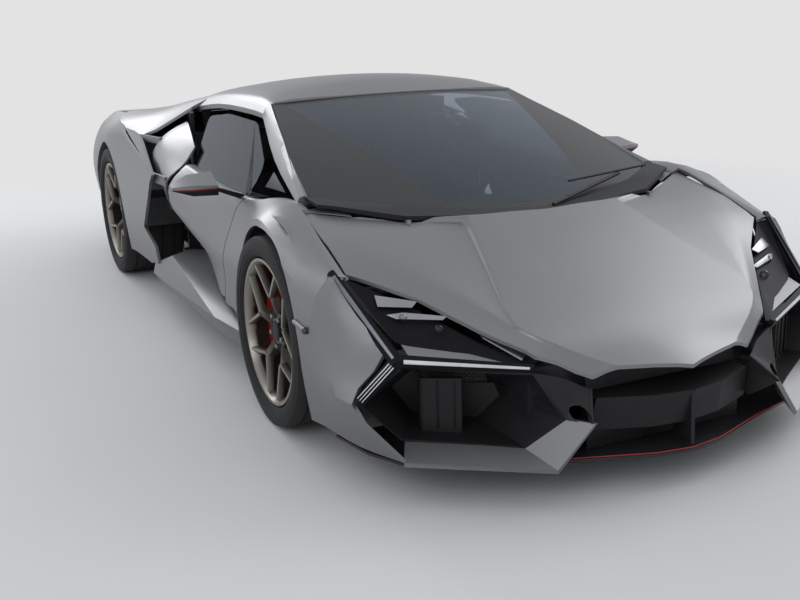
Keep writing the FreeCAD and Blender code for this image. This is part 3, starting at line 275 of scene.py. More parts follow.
# windscreen: a black printed band runs along the edges of the glass. The glass ends at its sides where
# slope * x + |y| comes to the limit, and at its base and head where bow * y * y + x does.
screenLook = {
    "dark": (0.15, 0.2, 0.26),
    "light": (0.19, 0.25, 0.31),
    "side": {"slope": 0.23, "limit": 0.697, "width": 0.03},
    "base": {"bow": 0.641, "limit": 1.6, "width": 0.05},
    "head": {"bow": 0.17, "limit": 0.485, "width": 0.035},
    "rearEnd": 0.3,
    "black": (0.006, 0.006, 0.007),
    "blackRough": 0.3,
}


def screenGlass():
    look = screenLook
    side, base, head = look["side"], look["base"], look["head"]
    finish = tintedGlass("screenGlass", look["dark"], look["light"], glassLook["sheen"])
    x, y = finish.along(0), finish.along(1).sized()
    inFront = x.above(look["rearEnd"])
    atSide = (x * side["slope"] + y).above(side["limit"] - side["width"]) * inFront
    atBase = (y * y * base["bow"] + x).above(base["limit"] - base["width"])
    atHead = (y * y * head["bow"] + x).below(head["limit"] + head["width"]) * inFront
    values = {"Base Color": (*look["black"], 1), "Roughness": look["blackRough"]}
    finish.blend((atSide + atBase + atHead).atMost(1.0), finish.node("ShaderNodeBsdfPrincipled", {}, values))
    return finish


# woven mesh of the grilles: open holes between crossed strands
meshLook = {
    "pitch": 0.014,
    "strand": 0.0045,
    "lean": 1.4,
    "dark": (0.012, 0.012, 0.013),
    "light": (0.03, 0.03, 0.032),
    "toneScale": 60.0,
    "rough": 0.4,
    "roughSpread": 0.1,
}


def grilleMesh():
    look = meshLook
    pitch, strand, lean = (look[k] for k in ("pitch", "strand", "lean"))
    finish = Finish("grilleMesh", Metallic=0.3)
    y, z = finish.along(1), finish.along(2)
    hole = (y + z * lean).wrapped(pitch).above(strand) * (y - z * lean).wrapped(pitch).above(strand)
    tone = finish.noise(look["toneScale"])
    finish.wear(
        Base_Color=finish.mix(tone, look["dark"], look["light"]),
        Roughness=tone * look["roughSpread"] + look["rough"],
        Alpha=1 - hole,
    )
    return finish


# wheel: bronze-grey spokes with bright turned edges, and the steel disc behind them
wheelLook = {
    "front": {"discFace": 0.879, "rimFace": 0.98, "rimRadius": 0.266},
    "rear": {"discFace": 0.862, "rimFace": 0.99, "rimRadius": 0.279},
    "spoke": (0.05, 0.042, 0.035),
    "darker": 0.85,
    "lighter": 1.2,
    "grainScale": 220.0,
    "rough": 0.26,
    "grainRough": 0.08,
    "discRough": 0.05,
    "edge": (0.3, 0.28, 0.25),
    "edgeDepths": (0.03, 0.008),
    "lipWidth": 0.012,
    "disc": (0.3, 0.3, 0.31),
    "discRadius": 0.207,
    "ring": 0.006,
    "ringDarker": 0.75,
}


def wheelFinish(axle):
    x0, _, z0 = axles[axle]
    look, size = wheelLook, wheelLook[axle]
    finish = Finish("forgedWheel" + axle.capitalize(), Metallic=0.7)
    x, y, z = finish.along(0) - x0, finish.along(1).sized(), finish.along(2) - z0
    radius = (x * x + z * z).rooted()
    isDisc = y.below(size["discFace"]) * radius.below(look["discRadius"])
    lip = radius.above(size["rimRadius"] - look["lipWidth"])
    grain = finish.noise(look["grainScale"], 3.0)
    dark = finish.mix(grain, shaded(look["spoke"], look["darker"]), shaded(look["spoke"], look["lighter"]))
    deep, shallow = look["edgeDepths"]
    crest = finish.span(y, size["rimFace"] - deep, size["rimFace"] - shallow)
    turned = finish.mix(lip.atLeast(crest), dark, look["edge"])
    rings = radius.wrapped(look["ring"]) * (1 / look["ring"])
    steel = finish.mix(rings, shaded(look["disc"], look["ringDarker"]), look["disc"])
    finish.wear(
        Base_Color=finish.mix(isDisc, turned, steel),
        Roughness=grain * look["grainRough"] + isDisc * look["discRough"] + look["rough"],
    )
    return finish


# tyre: fine moulded grain, side ribs, and sipes cut across the tread
tyreLook = {
    "shade": (0.019, 0.019, 0.02),
    "dust": (0.05, 0.048, 0.044),
    "sipes": 64,
    "sipeWidth": 0.014,
    "sipeLean": 0.9,
    "treadDepths": {"sipe": 0.016, "rib": 0.02, "dust": 0.006},
    "ribPitch": 0.009,
    "ribWidth": 0.0018,
    "ribHeight": 0.3,
    "grainScale": 400.0,
    "grainHeight": 0.05,
    "bump": (0.8, 0.003),
    "wearScale": 30.0,
    "wearShare": 0.5,
    "rough": 0.68,
    "roughSpread": 0.1,
}


def tyreFinish(axle):
    look = tyreLook
    x0, _, radius = axles[axle]
    depths = look["treadDepths"]
    finish = Finish("tyreRubber" + axle.capitalize(), Specular_IOR_Level=0.35)
    x, y, z = finish.along(0) - x0, finish.along(1), finish.along(2) - radius
    reach = (x * x + z * z).rooted()
    turn = x.maths("ARCTAN2", z, x) + y * look["sipeLean"]
    cut = turn.wrapped(2 * math.pi / look["sipes"]).below(look["sipeWidth"])
    sipe = cut * reach.above(radius - depths["sipe"])
    rib = reach.wrapped(look["ribPitch"]).below(look["ribWidth"]) * reach.below(radius - depths["rib"])
    worn = finish.noise(look["wearScale"], 4.0)
    dusty = worn * reach.above(radius - depths["dust"]) * look["wearShare"]
    finish.wear(
        Base_Color=finish.mix(dusty, look["shade"], look["dust"]),
        Roughness=worn * look["roughSpread"] + look["rough"],
    )
    grain = finish.noise(look["grainScale"]) * look["grainHeight"]
    finish.bump(rib * look["ribHeight"] - sipe + grain, *look["bump"])
    return finish


# mirror: grey top face, black face below it and a red line where they meet
mirrorLook = {"red": (0.2, 0.012, 0.012), "black": (0.015, 0.015, 0.016), "line": 0.79, "band": 0.006}


def mirrorFinish():
    look = mirrorLook
    finish = bodyPaint("mirrorPaint")
    under = finish.along(2) - look["line"]
    coat = Socket(finish, finish.shader.inputs["Base Color"].links[0].from_socket)
    lower = finish.mix(under.below(-look["band"]), look["red"], look["black"])
    finish.wear(Base_Color=finish.mix(under.below(0.0), coat, lower))
    return finish


# suspension castings, with the calipers painted red where they straddle the disc. The front calipers are
# behind the axle, and the rear ones are ahead of it.
uprightLook = {
    "dark": (0.11, 0.11, 0.12),
    "light": (0.17, 0.17, 0.18),
    "red": (0.42, 0.012, 0.014),
    "reach": 0.105,
    "side": {"front": -1, "rear": 1},
    "grainScale": 120.0,
    "grainBump": (0.1, 0.0005),
    "rough": 0.3,
    "roughSpread": 0.1,
}


def uprightFinish(axle):
    look = uprightLook
    finish = Finish("upright" + axle.capitalize(), Metallic=0.35)
    painted = (finish.along(0) - axles[axle][0]) * look["side"][axle]
    grain = finish.noise(look["grainScale"], 3.0)
    cast = finish.mix(grain, look["dark"], look["light"])
    finish.wear(
        Base_Color=finish.mix(painted.above(look["reach"]), cast, look["red"]),
        Roughness=grain * look["roughSpread"] + look["rough"],
    )
    finish.bump(grain, *look["grainBump"])
    return finish


# plastics: material name, shade, roughness, grain and what else is fixed
black, deepBlack, nearBlack = (0.012, 0.012, 0.013), (0.008, 0.008, 0.01), (0.014, 0.014, 0.015)
plastics = {
    "black_plastic": ("blackPlastic", black, 0.45, 900.0, {"Specular_IOR_Level": 0.3}),
    "lamp_black": ("lampBlack", deepBlack, 0.42, 400.0, {"Specular_IOR_Level": 0.1}),
    "lamp_red": ("lampRed", (0.32, 0.01, 0.01), 0.1, 400.0, {"Coat_Weight": 0.6}),
    "cabin_trim": ("cabinTrim", (0.02, 0.02, 0.021), 0.7, 700.0, {}),
    "seat_leather": ("seatLeather", (0.03, 0.028, 0.028), 0.6, 500.0, {}),
    "lampBlade": ("satinBlade", (0.2, 0.21, 0.235), 0.32, 500.0, {"Metallic": 0.7}),
    "glossBlack": ("glossBlack", black, 0.1, 300.0, {"Coat_Weight": 0.6}),
    "screen": ("screenGlassBlack", (0.008, 0.009, 0.011), 0.08, 300.0, {"Coat_Weight": 0.8}),
    "lightBar": ("lightBar", (0.62, 0.63, 0.65), 0.2, 300.0, {"Coat_Weight": 0.5}),
    "redLine": ("redLine", (0.34, 0.03, 0.02), 0.35, 400.0, {}),
    "meshBlack": ("meshBlack", black, 0.5, 600.0, {"Specular_IOR_Level": 0.35}),
    "sealBlack": ("sealRubber", nearBlack, 0.6, 800.0, {}),
}
finishes = {name: plainPlastic(*values, **fixed) for name, (*values, fixed) in plastics.items()}
finishes |= {
    "body_paint": bodyPaint(),
    "carbon": carbonWeave(),
    "glass": tintedGlass("tintedGlass", (0.07, 0.09, 0.115), (0.1, 0.125, 0.15), glassLook["sheen"]),
    "clearLens": tintedGlass("clearLens", (0.55, 0.57, 0.6), (0.6, 0.62, 0.65), glassLook["clear"]),
    "steel": metal("brushedSteel", (0.3, 0.3, 0.31), 0.3),
    "alloy": metal("castAlloy", (0.32, 0.32, 0.34), 0.42),
    "engine_grey": metal("engineCasting", (0.16, 0.16, 0.17), 0.5),
    "chrome": metal("lampReflector", (0.36, 0.36, 0.38), 0.2, 14.0),
    "mirror": mirrorFinish(),
    "screenGlass": screenGlass(),
    "mesh": grilleMesh(),
}
for axle in axles:
    finishes[axle + "Tyre"] = tyreFinish(axle)
    finishes[axle + "Wheel"] = wheelFinish(axle)
    finishes[axle + "Upright"] = uprightFinish(axle)
materials = {name: finish.material for name, finish in finishes.items()}
special = {
    "tyre_front": "frontTyre",
    "tyre_rear": "rearTyre",
    "wheel_front": "frontWheel",
    "wheel_rear": "rearWheel",
    "knuckle_front": "frontUpright",
    "knuckles_rear": "rearUpright",
    "door_mirror": "mirror",
    "windscreen": "screenGlass",
}


def finishOf(node):
    for start, name in special.items():
        if node.startswith(start):
            return materials[name]
    return materials[slotOf[node]]


for name, node in nodes.items():
    node.data.materials.clear()
    node.data.materials.append(finishOf(name))
print("materials made:", len(materials))


# modelling helpers
def deselect():
    if bpy.context.object and bpy.context.object.mode != "OBJECT":
        bpy.ops.object.mode_set(mode="OBJECT")
    bpy.ops.object.select_all(action="DESELECT")


def activate(piece):
    deselect()
    piece.select_set(True)
    bpy.context.view_layer.objects.active = piece


def editing(piece):
    activate(piece)
    bpy.ops.object.mode_set(mode="EDIT")
    bpy.ops.mesh.select_all(action="SELECT")


def edited():
    bpy.ops.object.mode_set(mode="OBJECT")


def applied(piece, kind, **settings):
    activate(piece)
    modifier = piece.modifiers.new(kind.lower(), kind)
    for name, value in settings.items():
        setattr(modifier, name, value)
    bpy.ops.object.modifier_apply(modifier=modifier.name)


def settled(piece):
    activate(piece)
    bpy.ops.object.transform_apply(location=True, rotation=True, scale=True)


def outward(piece):
    editing(piece)
    bpy.ops.mesh.remove_doubles(threshold=0.00005)
    bpy.ops.mesh.normals_make_consistent(inside=False)
    edited()


def smoothed(piece, crease):
    activate(piece)
    bpy.ops.object.shade_smooth_by_angle(angle=math.radians(crease))


def fitted(piece, name, finish, body="car", crease=30):
    piece.name = name
    piece.data.name = name
    piece.data.materials.clear()
    piece.data.materials.append(materials[finish])
    smoothed(piece, crease)
    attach(piece, body)
    return piece


def twin(piece, name, body):
    copy = bpy.data.objects.new(name, piece.data.copy())
    bpy.context.scene.collection.objects.link(copy)
    copy.data.name = name
    copy.data.transform(Matrix.Diagonal((1, -1, 1, 1)))
    editing(copy)
    bpy.ops.mesh.flip_normals()
    edited()
    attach(copy, body)
    return copy


def pair(piece, name, finish, body="car", crease=30):
    left = fitted(piece, name + "Left", finish, body.format("left"), crease)
    return left, twin(left, name + "Right", body.format("right"))


def ring(places, fill):
    deselect()
    bpy.ops.mesh.primitive_circle_add(vertices=len(places), radius=1, fill_type=fill)
    piece = bpy.context.object
    for vertex, place in zip(piece.data.vertices, places):
        vertex.co = place
    return piece


def flatPanel(corners, thickness, rounding=0.0, corner=0.0):
    piece = ring(corners, "NGON")
    if corner:
        editing(piece)
        bpy.ops.mesh.bevel(affect="VERTICES", offset=corner, segments=6)
        edited()
    applied(piece, "SOLIDIFY", thickness=thickness, offset=0)
    if rounding:
        applied(piece, "BEVEL", width=rounding, segments=2, limit_method="ANGLE")
    outward(piece)
    return piece


def wire(points, radius, sides=6):
    deselect()
    curve = bpy.data.curves.new("wire", "CURVE")
    curve.dimensions = "3D"
    curve.bevel_depth = radius
    curve.bevel_resolution = sides // 2 - 2
    curve.use_fill_caps = True
    line = curve.splines.new("POLY")
    line.points.add(len(points) - 1)
    for place, point in zip(line.points, points):
        place.co = (*point, 1)
    piece = bpy.data.objects.new("wire", curve)
    bpy.context.scene.collection.objects.link(piece)
    activate(piece)
    bpy.ops.object.convert(target="MESH")
    return bpy.context.object


def block(low, high, rounding, segments=2):
    deselect()
    centre = [(a + b) / 2 for a, b in zip(low, high)]
    bpy.ops.mesh.primitive_cube_add(size=1, location=centre)
    piece = bpy.context.object
    piece.scale = [b - a for a, b in zip(low, high)]
    settled(piece)
    applied(piece, "BEVEL", width=rounding, segments=segments)
    return piece


def joined(pieces):
    deselect()
    for piece in pieces:
        piece.select_set(True)
    bpy.context.view_layer.objects.active = pieces[0]
    bpy.ops.object.join()
    return bpy.context.object


# painted and glazed panels: each CAD panel's copy is merged, its edges are eased and its curves are
# smoothed. Those that start with a name in "unbevelled" keep their edges, where a bevel would leave spikes.
panelLook = {
    "merge": 0.0002,
    "flatFace": 25,
    "flatShape": 60,
    "edge": 0.0015,
    "crease": 24,
    "sharp": 38,
    "dressed": [
        "hood", "roof", "front_bumper", "side_ducts", "sills", "cowl", "tail_panel", "nose_frame",
        "headlamps", "rear_wing", "engine_cover", "diffuser", "windscreen", "dashboard", "exhaust", "engine",
    ],
    "dressedPairs": [
        "front_fender", "rear_quarter", "door", "door_mirror", "wheel_front", "wheel_rear",
    ],
    "unbevelled": ("windscreen", "wheel", "hood", "front_fender", "headlamps"),
}


def dressed(node):
    look = panelLook
    name = node + "_panel"
    piece = bpy.data.objects.new(name, nodes[node].data.copy())
    bpy.context.scene.collection.objects.link(piece)
    editing(piece)
    bpy.ops.mesh.remove_doubles(threshold=look["merge"])
    flatFace, flatShape = math.radians(look["flatFace"]), math.radians(look["flatShape"])
    bpy.ops.mesh.tris_convert_to_quads(face_threshold=flatFace, shape_threshold=flatShape)
    edited()
    if not node.startswith(look["unbevelled"]):
        ease = {"width": look["edge"], "segments": 2, "use_clamp_overlap": True}
        applied(piece, "BEVEL", limit_method="ANGLE", angle_limit=math.radians(look["sharp"]), **ease)
    piece.data.materials.clear()
    piece.data.materials.append(finishOf(node))
    smoothed(piece, look["crease"])
    applied(piece, "WEIGHTED_NORMAL", mode="FACE_AREA", weight=50, keep_sharp=True)
    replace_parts(piece, node)
    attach(piece, bodyOf[node])


sided = [f"{name}_{side}" for side in ("left", "right") for name in panelLook["dressedPairs"]]
panels = panelLook["dressed"] + sided
for name in panels:
    dressed(name)
print("panels dressed:", len(panels))


def onSurface(node, point):
    bpy.context.view_layer.update()
    return bpy.data.objects[node + "_panel"].closest_point_on_mesh(Vector(point))[1]


# tyres: half a section runs from the bead over the shoulder and two grooves to the crown, and the whole
# section is turned about the axle
tyreSection = {
    "front": {"half": 0.1325, "seat": 0.267},
    "rear": {"half": 0.1725, "seat": 0.28},
    "bead": [  # share of the half width, height over the rim's seat
        (0.8, 0.0), (0.9, 0.008), (0.93, 0.01), (0.945, 0.016),
        (0.965, 0.017), (0.985, 0.03), (0.998, 0.031), (1.0, 0.046),
    ],
    "shoulder": [  # share of the half width, depth under the crown
        (0.985, 0.022), (0.97, 0.019), (0.955, 0.009), (0.93, 0.007), (0.85, 0.002),
    ],
    "grooves": (0.6, 0.22),  # share of the half width
    "grooveWidth": 0.01,
    "grooveDepth": 0.007,
    "grooveTaper": 0.7,
    "crown": 0.001,
    "steps": 96,
}


def tyreHalf(axle):
    look, size, top = tyreSection, tyreSection[axle], axles[axle][2]
    half = [(share * size["half"], size["seat"] + rise) for share, rise in look["bead"]]
    half += [(share * size["half"], top - drop) for share, drop in look["shoulder"]]
    tread, edge = top - look["crown"], look["grooveWidth"] / 2
    foot, floor = edge * look["grooveTaper"], tread - look["grooveDepth"]
    for share in look["grooves"]:
        middle = share * size["half"]
        half += [(middle + edge, tread), (middle + foot, floor)]
        half += [(middle - foot, floor), (middle - edge, tread)]
    return half


def tyre(axle):
    x0, y0, top = axles[axle]
    half = tyreHalf(axle)
    section = [(-y, r) for y, r in half] + [(0.0, top)] + half[::-1]
    piece = ring([(x0, y0 + y, top - r) for y, r in section], "NOTHING")
    editing(piece)
    bpy.ops.mesh.spin(steps=tyreSection["steps"], angle=2 * math.pi, center=(x0, y0, top), axis=(0, 1, 0))
    edited()
    outward(piece)
    return piece


for axle in axles:
    turned = pair(tyre(axle), axle + "Tyre", axle + "Tyre", axle + "_wheel_{}", 40)
    for piece, side in zip(turned, ("left", "right")):
        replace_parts(piece, f"tyre_{axle}_{side}")
print("tyres turned")


# wheel trim: a blank hub cap with its rim, and five bolts
wheelTrim = {
    "face": {"front": 0.9385, "rear": 0.9205},
    "lift": 0.006,
    "capRadius": 0.036,
    "capDepth": 0.012,
    "capInsets": [(0.006, -0.003), (0.004, 0.002)],  # width and rise of each step on the cap
    "capSides": 40,
    "capRounding": 0.0008,
    "bolts": 5,
    "boltCircle": 0.058,
    "boltRadius": 0.0095,
    "boltDepth": 0.014,
    "boltSides": 6,
    "boltRounding": 0.0015,
}


def plug(axle, across, up, radius, depth, sides):
    x0, _, z0 = axles[axle]
    place = (x0 + across, wheelTrim["face"][axle] + wheelTrim["lift"], z0 + up)
    turn = (math.pi / 2, 0, 0)
    deselect()
    size = {"vertices": sides, "radius": radius, "depth": depth}
    bpy.ops.mesh.primitive_cylinder_add(location=place, rotation=turn, **size)
    piece = bpy.context.object
    settled(piece)
    return piece


def hubCap(axle):
    look = wheelTrim
    piece = plug(axle, 0, 0, look["capRadius"], look["capDepth"], look["capSides"])
    bpy.ops.object.mode_set(mode="EDIT")
    bpy.ops.mesh.select_all(action="DESELECT")
    edited()
    for polygon in piece.data.polygons:
        polygon.select = polygon.normal.y > 0.9
    bpy.ops.object.mode_set(mode="EDIT")
    bpy.ops.mesh.select_mode(type="FACE")
    for width, rise in look["capInsets"]:
        bpy.ops.mesh.inset(thickness=width, depth=rise)
    edited()
    applied(piece, "BEVEL", width=look["capRounding"], segments=2, limit_method="ANGLE")
    return piece


def wheelBolts(axle):
    look = wheelTrim
    heads = []
    for i in range(look["bolts"]):
        turn = math.pi / 2 + (i + 0.5) * 2 * math.pi / look["bolts"]
        across, up = (look["boltCircle"] * part for part in (math.cos(turn), math.sin(turn)))
        head = plug(axle, across, up, look["boltRadius"], look["boltDepth"], look["boltSides"])
        applied(head, "BEVEL", width=look["boltRounding"], segments=2)
        heads.append(head)
    return joined(heads)


for axle in axles:
    pair(hubCap(axle), axle + "HubCap", "sealBlack", axle + "_wheel_{}")
    pair(wheelBolts(axle), axle + "WheelBolts", "steel", axle + "_wheel_{}")
print("wheel trim fitted")


# headlamp: light bars on the arms of the fork, ribs on its foot, and reflectors and lenses on the dark pane
lampPlan = {
    "tail": (1.8, 0.905, 0.652),
    "fork": (2.104, 0.828, 0.431),
    "tip": (2.294, 0.466, 0.402),
    "foot": (2.104, 0.958, 0.322),
    "out": (0.74, 0.56, 0.37),
    "barWidth": 0.013,
    "bladeWidth": 0.016,
    "barRise": 0.0125,
    "barThickness": 0.005,
    "barEnds": (0.06, 0.97),  # shares of the arm's length
    "barTaper": 0.6,
    "barRounding": 0.0015,
    "ribWidth": 0.004,
    "ribEnds": (0.1, 0.92),
    "ribs": (-0.009, 0.0, 0.009),
    "patchRise": 0.006,
    "patchThickness": 0.004,
    "patchRounding": 0.001,
    "patches": {
        "upperReflector": [
            (1.892, 0.796, 0.581), (1.96, 0.682, 0.56), (1.971, 0.705, 0.546), (1.927, 0.802, 0.553),
        ],
        "lowerReflector": [
            (1.959, 0.789, 0.533), (1.982, 0.74, 0.539), (2.035, 0.615, 0.521), (2.04, 0.635, 0.513),
            (1.982, 0.766, 0.522),
        ],
        "innerReflector": [
            (2.109, 0.556, 0.482), (2.222, 0.447, 0.426), (2.234, 0.472, 0.41), (2.136, 0.546, 0.464),
        ],
    },
    "lenses": [(1.985, 0.745, 0.524), (2.06, 0.66, 0.492)],
    "lensRadius": 0.016,
    "lensFacets": {"segments": 24, "ring_count": 12},
}


def lampBar(start, end, width, ends, across=0.0):
    look = lampPlan
    a, b, out = (Vector(look[k]) for k in (start, end, "out"))
    side = (b - a).cross(out).normalized()
    lift = out * look["barRise"] + side * across
    half = side * width / 2
    p, q = (a + (b - a) * share + lift for share in ends)
    narrow = half * look["barTaper"]
    return flatPanel([p - half, q - narrow, q + narrow, p + half], look["barThickness"], look["barRounding"])


def lampPatch(corners):
    look = lampPlan
    lift = Vector(look["out"]) * look["patchRise"]
    raised = [Vector(corner) + lift for corner in corners]
    return flatPanel(raised, look["patchThickness"], look["patchRounding"])


def lens(place, radius):
    deselect()
    turn = Vector(lampPlan["out"]).to_track_quat("Z", "Y").to_euler()
    facets = lampPlan["lensFacets"]
    bpy.ops.mesh.primitive_uv_sphere_add(radius=radius, location=place, rotation=turn, **facets)
    piece = bpy.context.object
    settled(piece)
    return piece


pair(lampBar("fork", "tip", lampPlan["barWidth"], lampPlan["barEnds"]), "levelLightBar", "lightBar")
pair(lampBar("tail", "fork", lampPlan["bladeWidth"], lampPlan["barEnds"]), "upperLightBar", "lampBlade")
ribSize = lampPlan["ribWidth"], lampPlan["ribEnds"]
ribs = [lampBar("fork", "foot", *ribSize, across) for across in lampPlan["ribs"]]
pair(joined(ribs), "footLampRibs", "lightBar")
for name, corners in lampPlan["patches"].items():
    pair(lampPatch(corners), name, "chrome")
lenses = [lens(place, lampPlan["lensRadius"]) for place in lampPlan["lenses"]]
pair(joined(lenses), "lampProjectors", "clearLens")
print("headlamps fitted")


# nose: meshes behind the intakes, slats in the outer ones, the splitter's blade and the red line on its edge
noseLook = {
    "ductRear": [
        (2.055, 0.505, 0.342), (1.955, 0.69, 0.342), (1.936, 0.757, 0.29), (1.955, 0.697, 0.204),
        (2.055, 0.545, 0.194), (2.088, 0.488, 0.26),
    ],
    "lowerMesh": [(2.33, -0.3, 0.122), (2.33, 0.3, 0.122), (2.33, 0.3, 0.194), (2.33, -0.3, 0.194)],
    "upperMesh": [(2.31, -0.292, 0.306), (2.31, 0.292, 0.306), (2.3, 0.292, 0.368), (2.3, -0.292, 0.368)],
    "meshThickness": 0.003,
    "slats": (0.655, 0.7, 0.745),
    "slatLine": (2.15, 0.628, 0.55),  # x at y, and how far x falls back for each unit of y
    "slatDepth": (-0.004, 0.012),
    "slatHeight": (0.2, 0.352),
    "slatHalf": 0.0018,
    "slatRounding": 0.001,
    "splitter": [
        (1.83, 0.925), (2.01, 0.89), (2.16, 0.82), (2.31, 0.54), (2.37, 0.36), (2.458, 0.12), (2.4733, 0.03),
    ],
    "splitterHeight": 0.113,
    "splitterThickness": 0.0098,
    "splitterRounding": 0.002,
    "redEdge": [(2.317, 0.52), (2.363, 0.36), (2.451, 0.12), (2.4675, 0.0)],
    "redHeight": 0.1195,
    "redRadius": 0.0022,
}


def noseSlat(y):
    look = noseLook
    x0, y0, fall = look["slatLine"]
    x = x0 - (y - y0) * fall
    rear, front = (x + step for step in look["slatDepth"])
    foot, head = look["slatHeight"]
    half = look["slatHalf"]
    return block((rear, y - half, foot), (front, y + half, head), look["slatRounding"])


def splitterBlade():
    look = noseLook
    outline = look["splitter"] + [(x, -y) for x, y in look["splitter"][::-1]]
    corners = [(x, y, look["splitterHeight"]) for x, y in outline]
    return flatPanel(corners, look["splitterThickness"], look["splitterRounding"])


def splitterLine():
    left = noseLook["redEdge"]
    line = left + [(x, -y) for x, y in left[-2::-1]]
    return wire([(x, y, noseLook["redHeight"]) for x, y in line], noseLook["redRadius"])


pair(flatPanel(noseLook["ductRear"], noseLook["meshThickness"]), "intakeMesh", "mesh")
pair(joined([noseSlat(y) for y in noseLook["slats"]]), "intakeSlats", "meshBlack")
fitted(flatPanel(noseLook["lowerMesh"], noseLook["meshThickness"]), "lowerNoseMesh", "mesh")
fitted(flatPanel(noseLook["upperMesh"], noseLook["meshThickness"]), "upperNoseMesh", "mesh")
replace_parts(fitted(splitterBlade(), "splitterBlade", "carbon"), "front_splitter")
fitted(splitterLine(), "splitterRedLine", "redLine")


# side marker: a rounded bar on the wing, with a dark lens at its front end
markerLook = {
    "ends": ((1.715, 1.02, 0.484), (1.79, 1.02, 0.476)),
    "rise": 0.004,
    "radius": 0.009,
    "sides": 12,
    "lensShift": (0.004, 0.001, 0),
    "lensRadius": 0.0125,
}
markerRise = Vector((0, markerLook["rise"], 0))
markerEnds = [onSurface("front_fender_left", end) + markerRise for end in markerLook["ends"]]
pair(wire(markerEnds, markerLook["radius"], markerLook["sides"]), "sideMarker", "body_paint", crease=50)
markerLens = lens(markerEnds[1] + Vector(markerLook["lensShift"]), markerLook["lensRadius"])
pair(markerLens, "sideMarkerLens", "glossBlack")
print("nose fitted")


# black sail ahead of each door window, and the seals along the windscreen's sides
sailPlan = {
    "corners": [(0.874, 0.757, 0.845), (0.874, 0.797, 0.79), (1.1, 0.793, 0.797)],
    "thickness": 0.006,
    "rounding": 0.0015,
    "seal": [(1.185, 0.762, 0.8), (0.95, 0.705, 0.878), (0.7, 0.65, 0.965), (0.44, 0.597, 1.058)],
    "sealRadius": 0.004,
    "sealSides": 8,
}
pair(flatPanel(sailPlan["corners"], sailPlan["thickness"], sailPlan["rounding"]), "windowSail", "meshBlack")
for word, side in (("Left", 1), ("Right", -1)):
    course = [(x, y * side, z) for x, y, z in sailPlan["seal"]]
    fitted(wire(course, sailPlan["sealRadius"], sailPlan["sealSides"]), "pillarSeal" + word, "sealBlack")


# door windows: flat panes with rounded corners, which lean in with height
windowPlan = {
    "outline": [
        (0.735, 0.735), (0.776, 0.762), (0.762, 0.862), (0.424, 1.0), (-0.009, 1.008), (-0.3, 0.98),
        (-0.15, 0.8), (-0.125, 0.735),
    ],
    "baseY": 0.812,
    "baseZ": 0.778,
    "lean": 0.66,
    "thickness": 0.004,
    "corner": 0.05,
}


def doorWindow():
    lean, baseY, baseZ = (windowPlan[k] for k in ("lean", "baseY", "baseZ"))
    corners = [(x, baseY - (z - baseZ) * lean, z) for x, z in windowPlan["outline"]]
    return flatPanel(corners, windowPlan["thickness"], corner=windowPlan["corner"])


for pane, side in zip(pair(doorWindow(), "doorWindow", "glass", "door_{}"), ("left", "right")):
    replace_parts(pane, f"door_glass_{side}")


# seats: sewn pads and bolsters on a hard shell
seatPlan = {
    "middle": 0.37,
    "shell": [
        (0.56, 0.145), (0.57, 0.285), (0.47, 0.305), (0.085, 0.24), (-0.165, 0.64), (-0.235, 0.915),
        (-0.285, 0.912), (-0.238, 0.64), (-0.11, 0.145),
    ],
    "shellWidth": 0.45,
    "shellRounding": 0.012,
    "pads": {  # rear or top edge, front or bottom edge, half width, thickness, sewn channels
        "seatBasePad": ((0.1, 0.275), (0.555, 0.325), 0.165, 0.05, 4),
        "seatBackPad": ((-0.165, 0.7), (0.062, 0.3), 0.165, 0.05, 5),
        "headPad": ((-0.228, 0.9), (-0.18, 0.74), 0.12, 0.045, 1),
    },
    "padFill": 0.85,
    "bolsters": {  # rear or top edge, front or bottom edge, distance from the middle, thickness
        "baseBolster": ((0.1, 0.285), (0.54, 0.335), 0.2, 0.06),
        "backBolster": ((-0.15, 0.66), (0.055, 0.31), 0.2, 0.06),
    },
    "bolsterReach": (-0.035, 0.025),  # from the bolster's line to its inner and outer edge
    "bolsterFill": 0.9,
}
padShape = {
    "cuts": 15,
    "crown": 0.3,
    "rim": 0.3,
    "seam": 0.16,
    "seamSharpness": 260,
    "rimSharpness": 6,
    "pull": 0.03,
    "crease": 60,
}


def padHeight(u, v, w, channels):
    look = padShape
    rim = max(abs(u), abs(v)) ** look["rimSharpness"]
    crown = (1 - u * u) * (1 - v * v) * look["crown"]
    along = ((u + 1) * channels / 2) % 1 - 0.5
    seam = math.exp(-along ** 2 * look["seamSharpness"]) if channels > 1 else 0
    return w * (0.5 - look["rim"] * rim) + max(w, 0) * (crown - look["seam"] * seam * (1 - rim))


def pad(rear, front, low, high, thick, channels):
    deselect()
    bpy.ops.mesh.primitive_cube_add(size=2)
    piece = bpy.context.object
    editing(piece)
    bpy.ops.mesh.subdivide(number_cuts=padShape["cuts"])
    edited()
    a, b = Vector((rear[0], 0, rear[1])), Vector((front[0], 0, front[1]))
    up = (b - a).cross(Vector((0, 1, 0))).normalized()
    up = up if up.z > 0 or abs(up.z) < 0.2 and up.x > 0 else -up
    pull, span = padShape["pull"], (high - low) / 2
    for vertex in piece.data.vertices:
        u, v, w = vertex.co
        middle = a + (b - a) * (u * (1 - pull * (1 - v * v)) + 1) / 2
        y = (low + high) / 2 + v * span * (1 - pull * (1 - u * u))
        vertex.co = middle + Vector((0, y, 0)) + up * padHeight(u, v, w, channels) * thick
    outward(piece)
    applied(piece, "SUBSURF", levels=1, render_levels=1)
    return piece


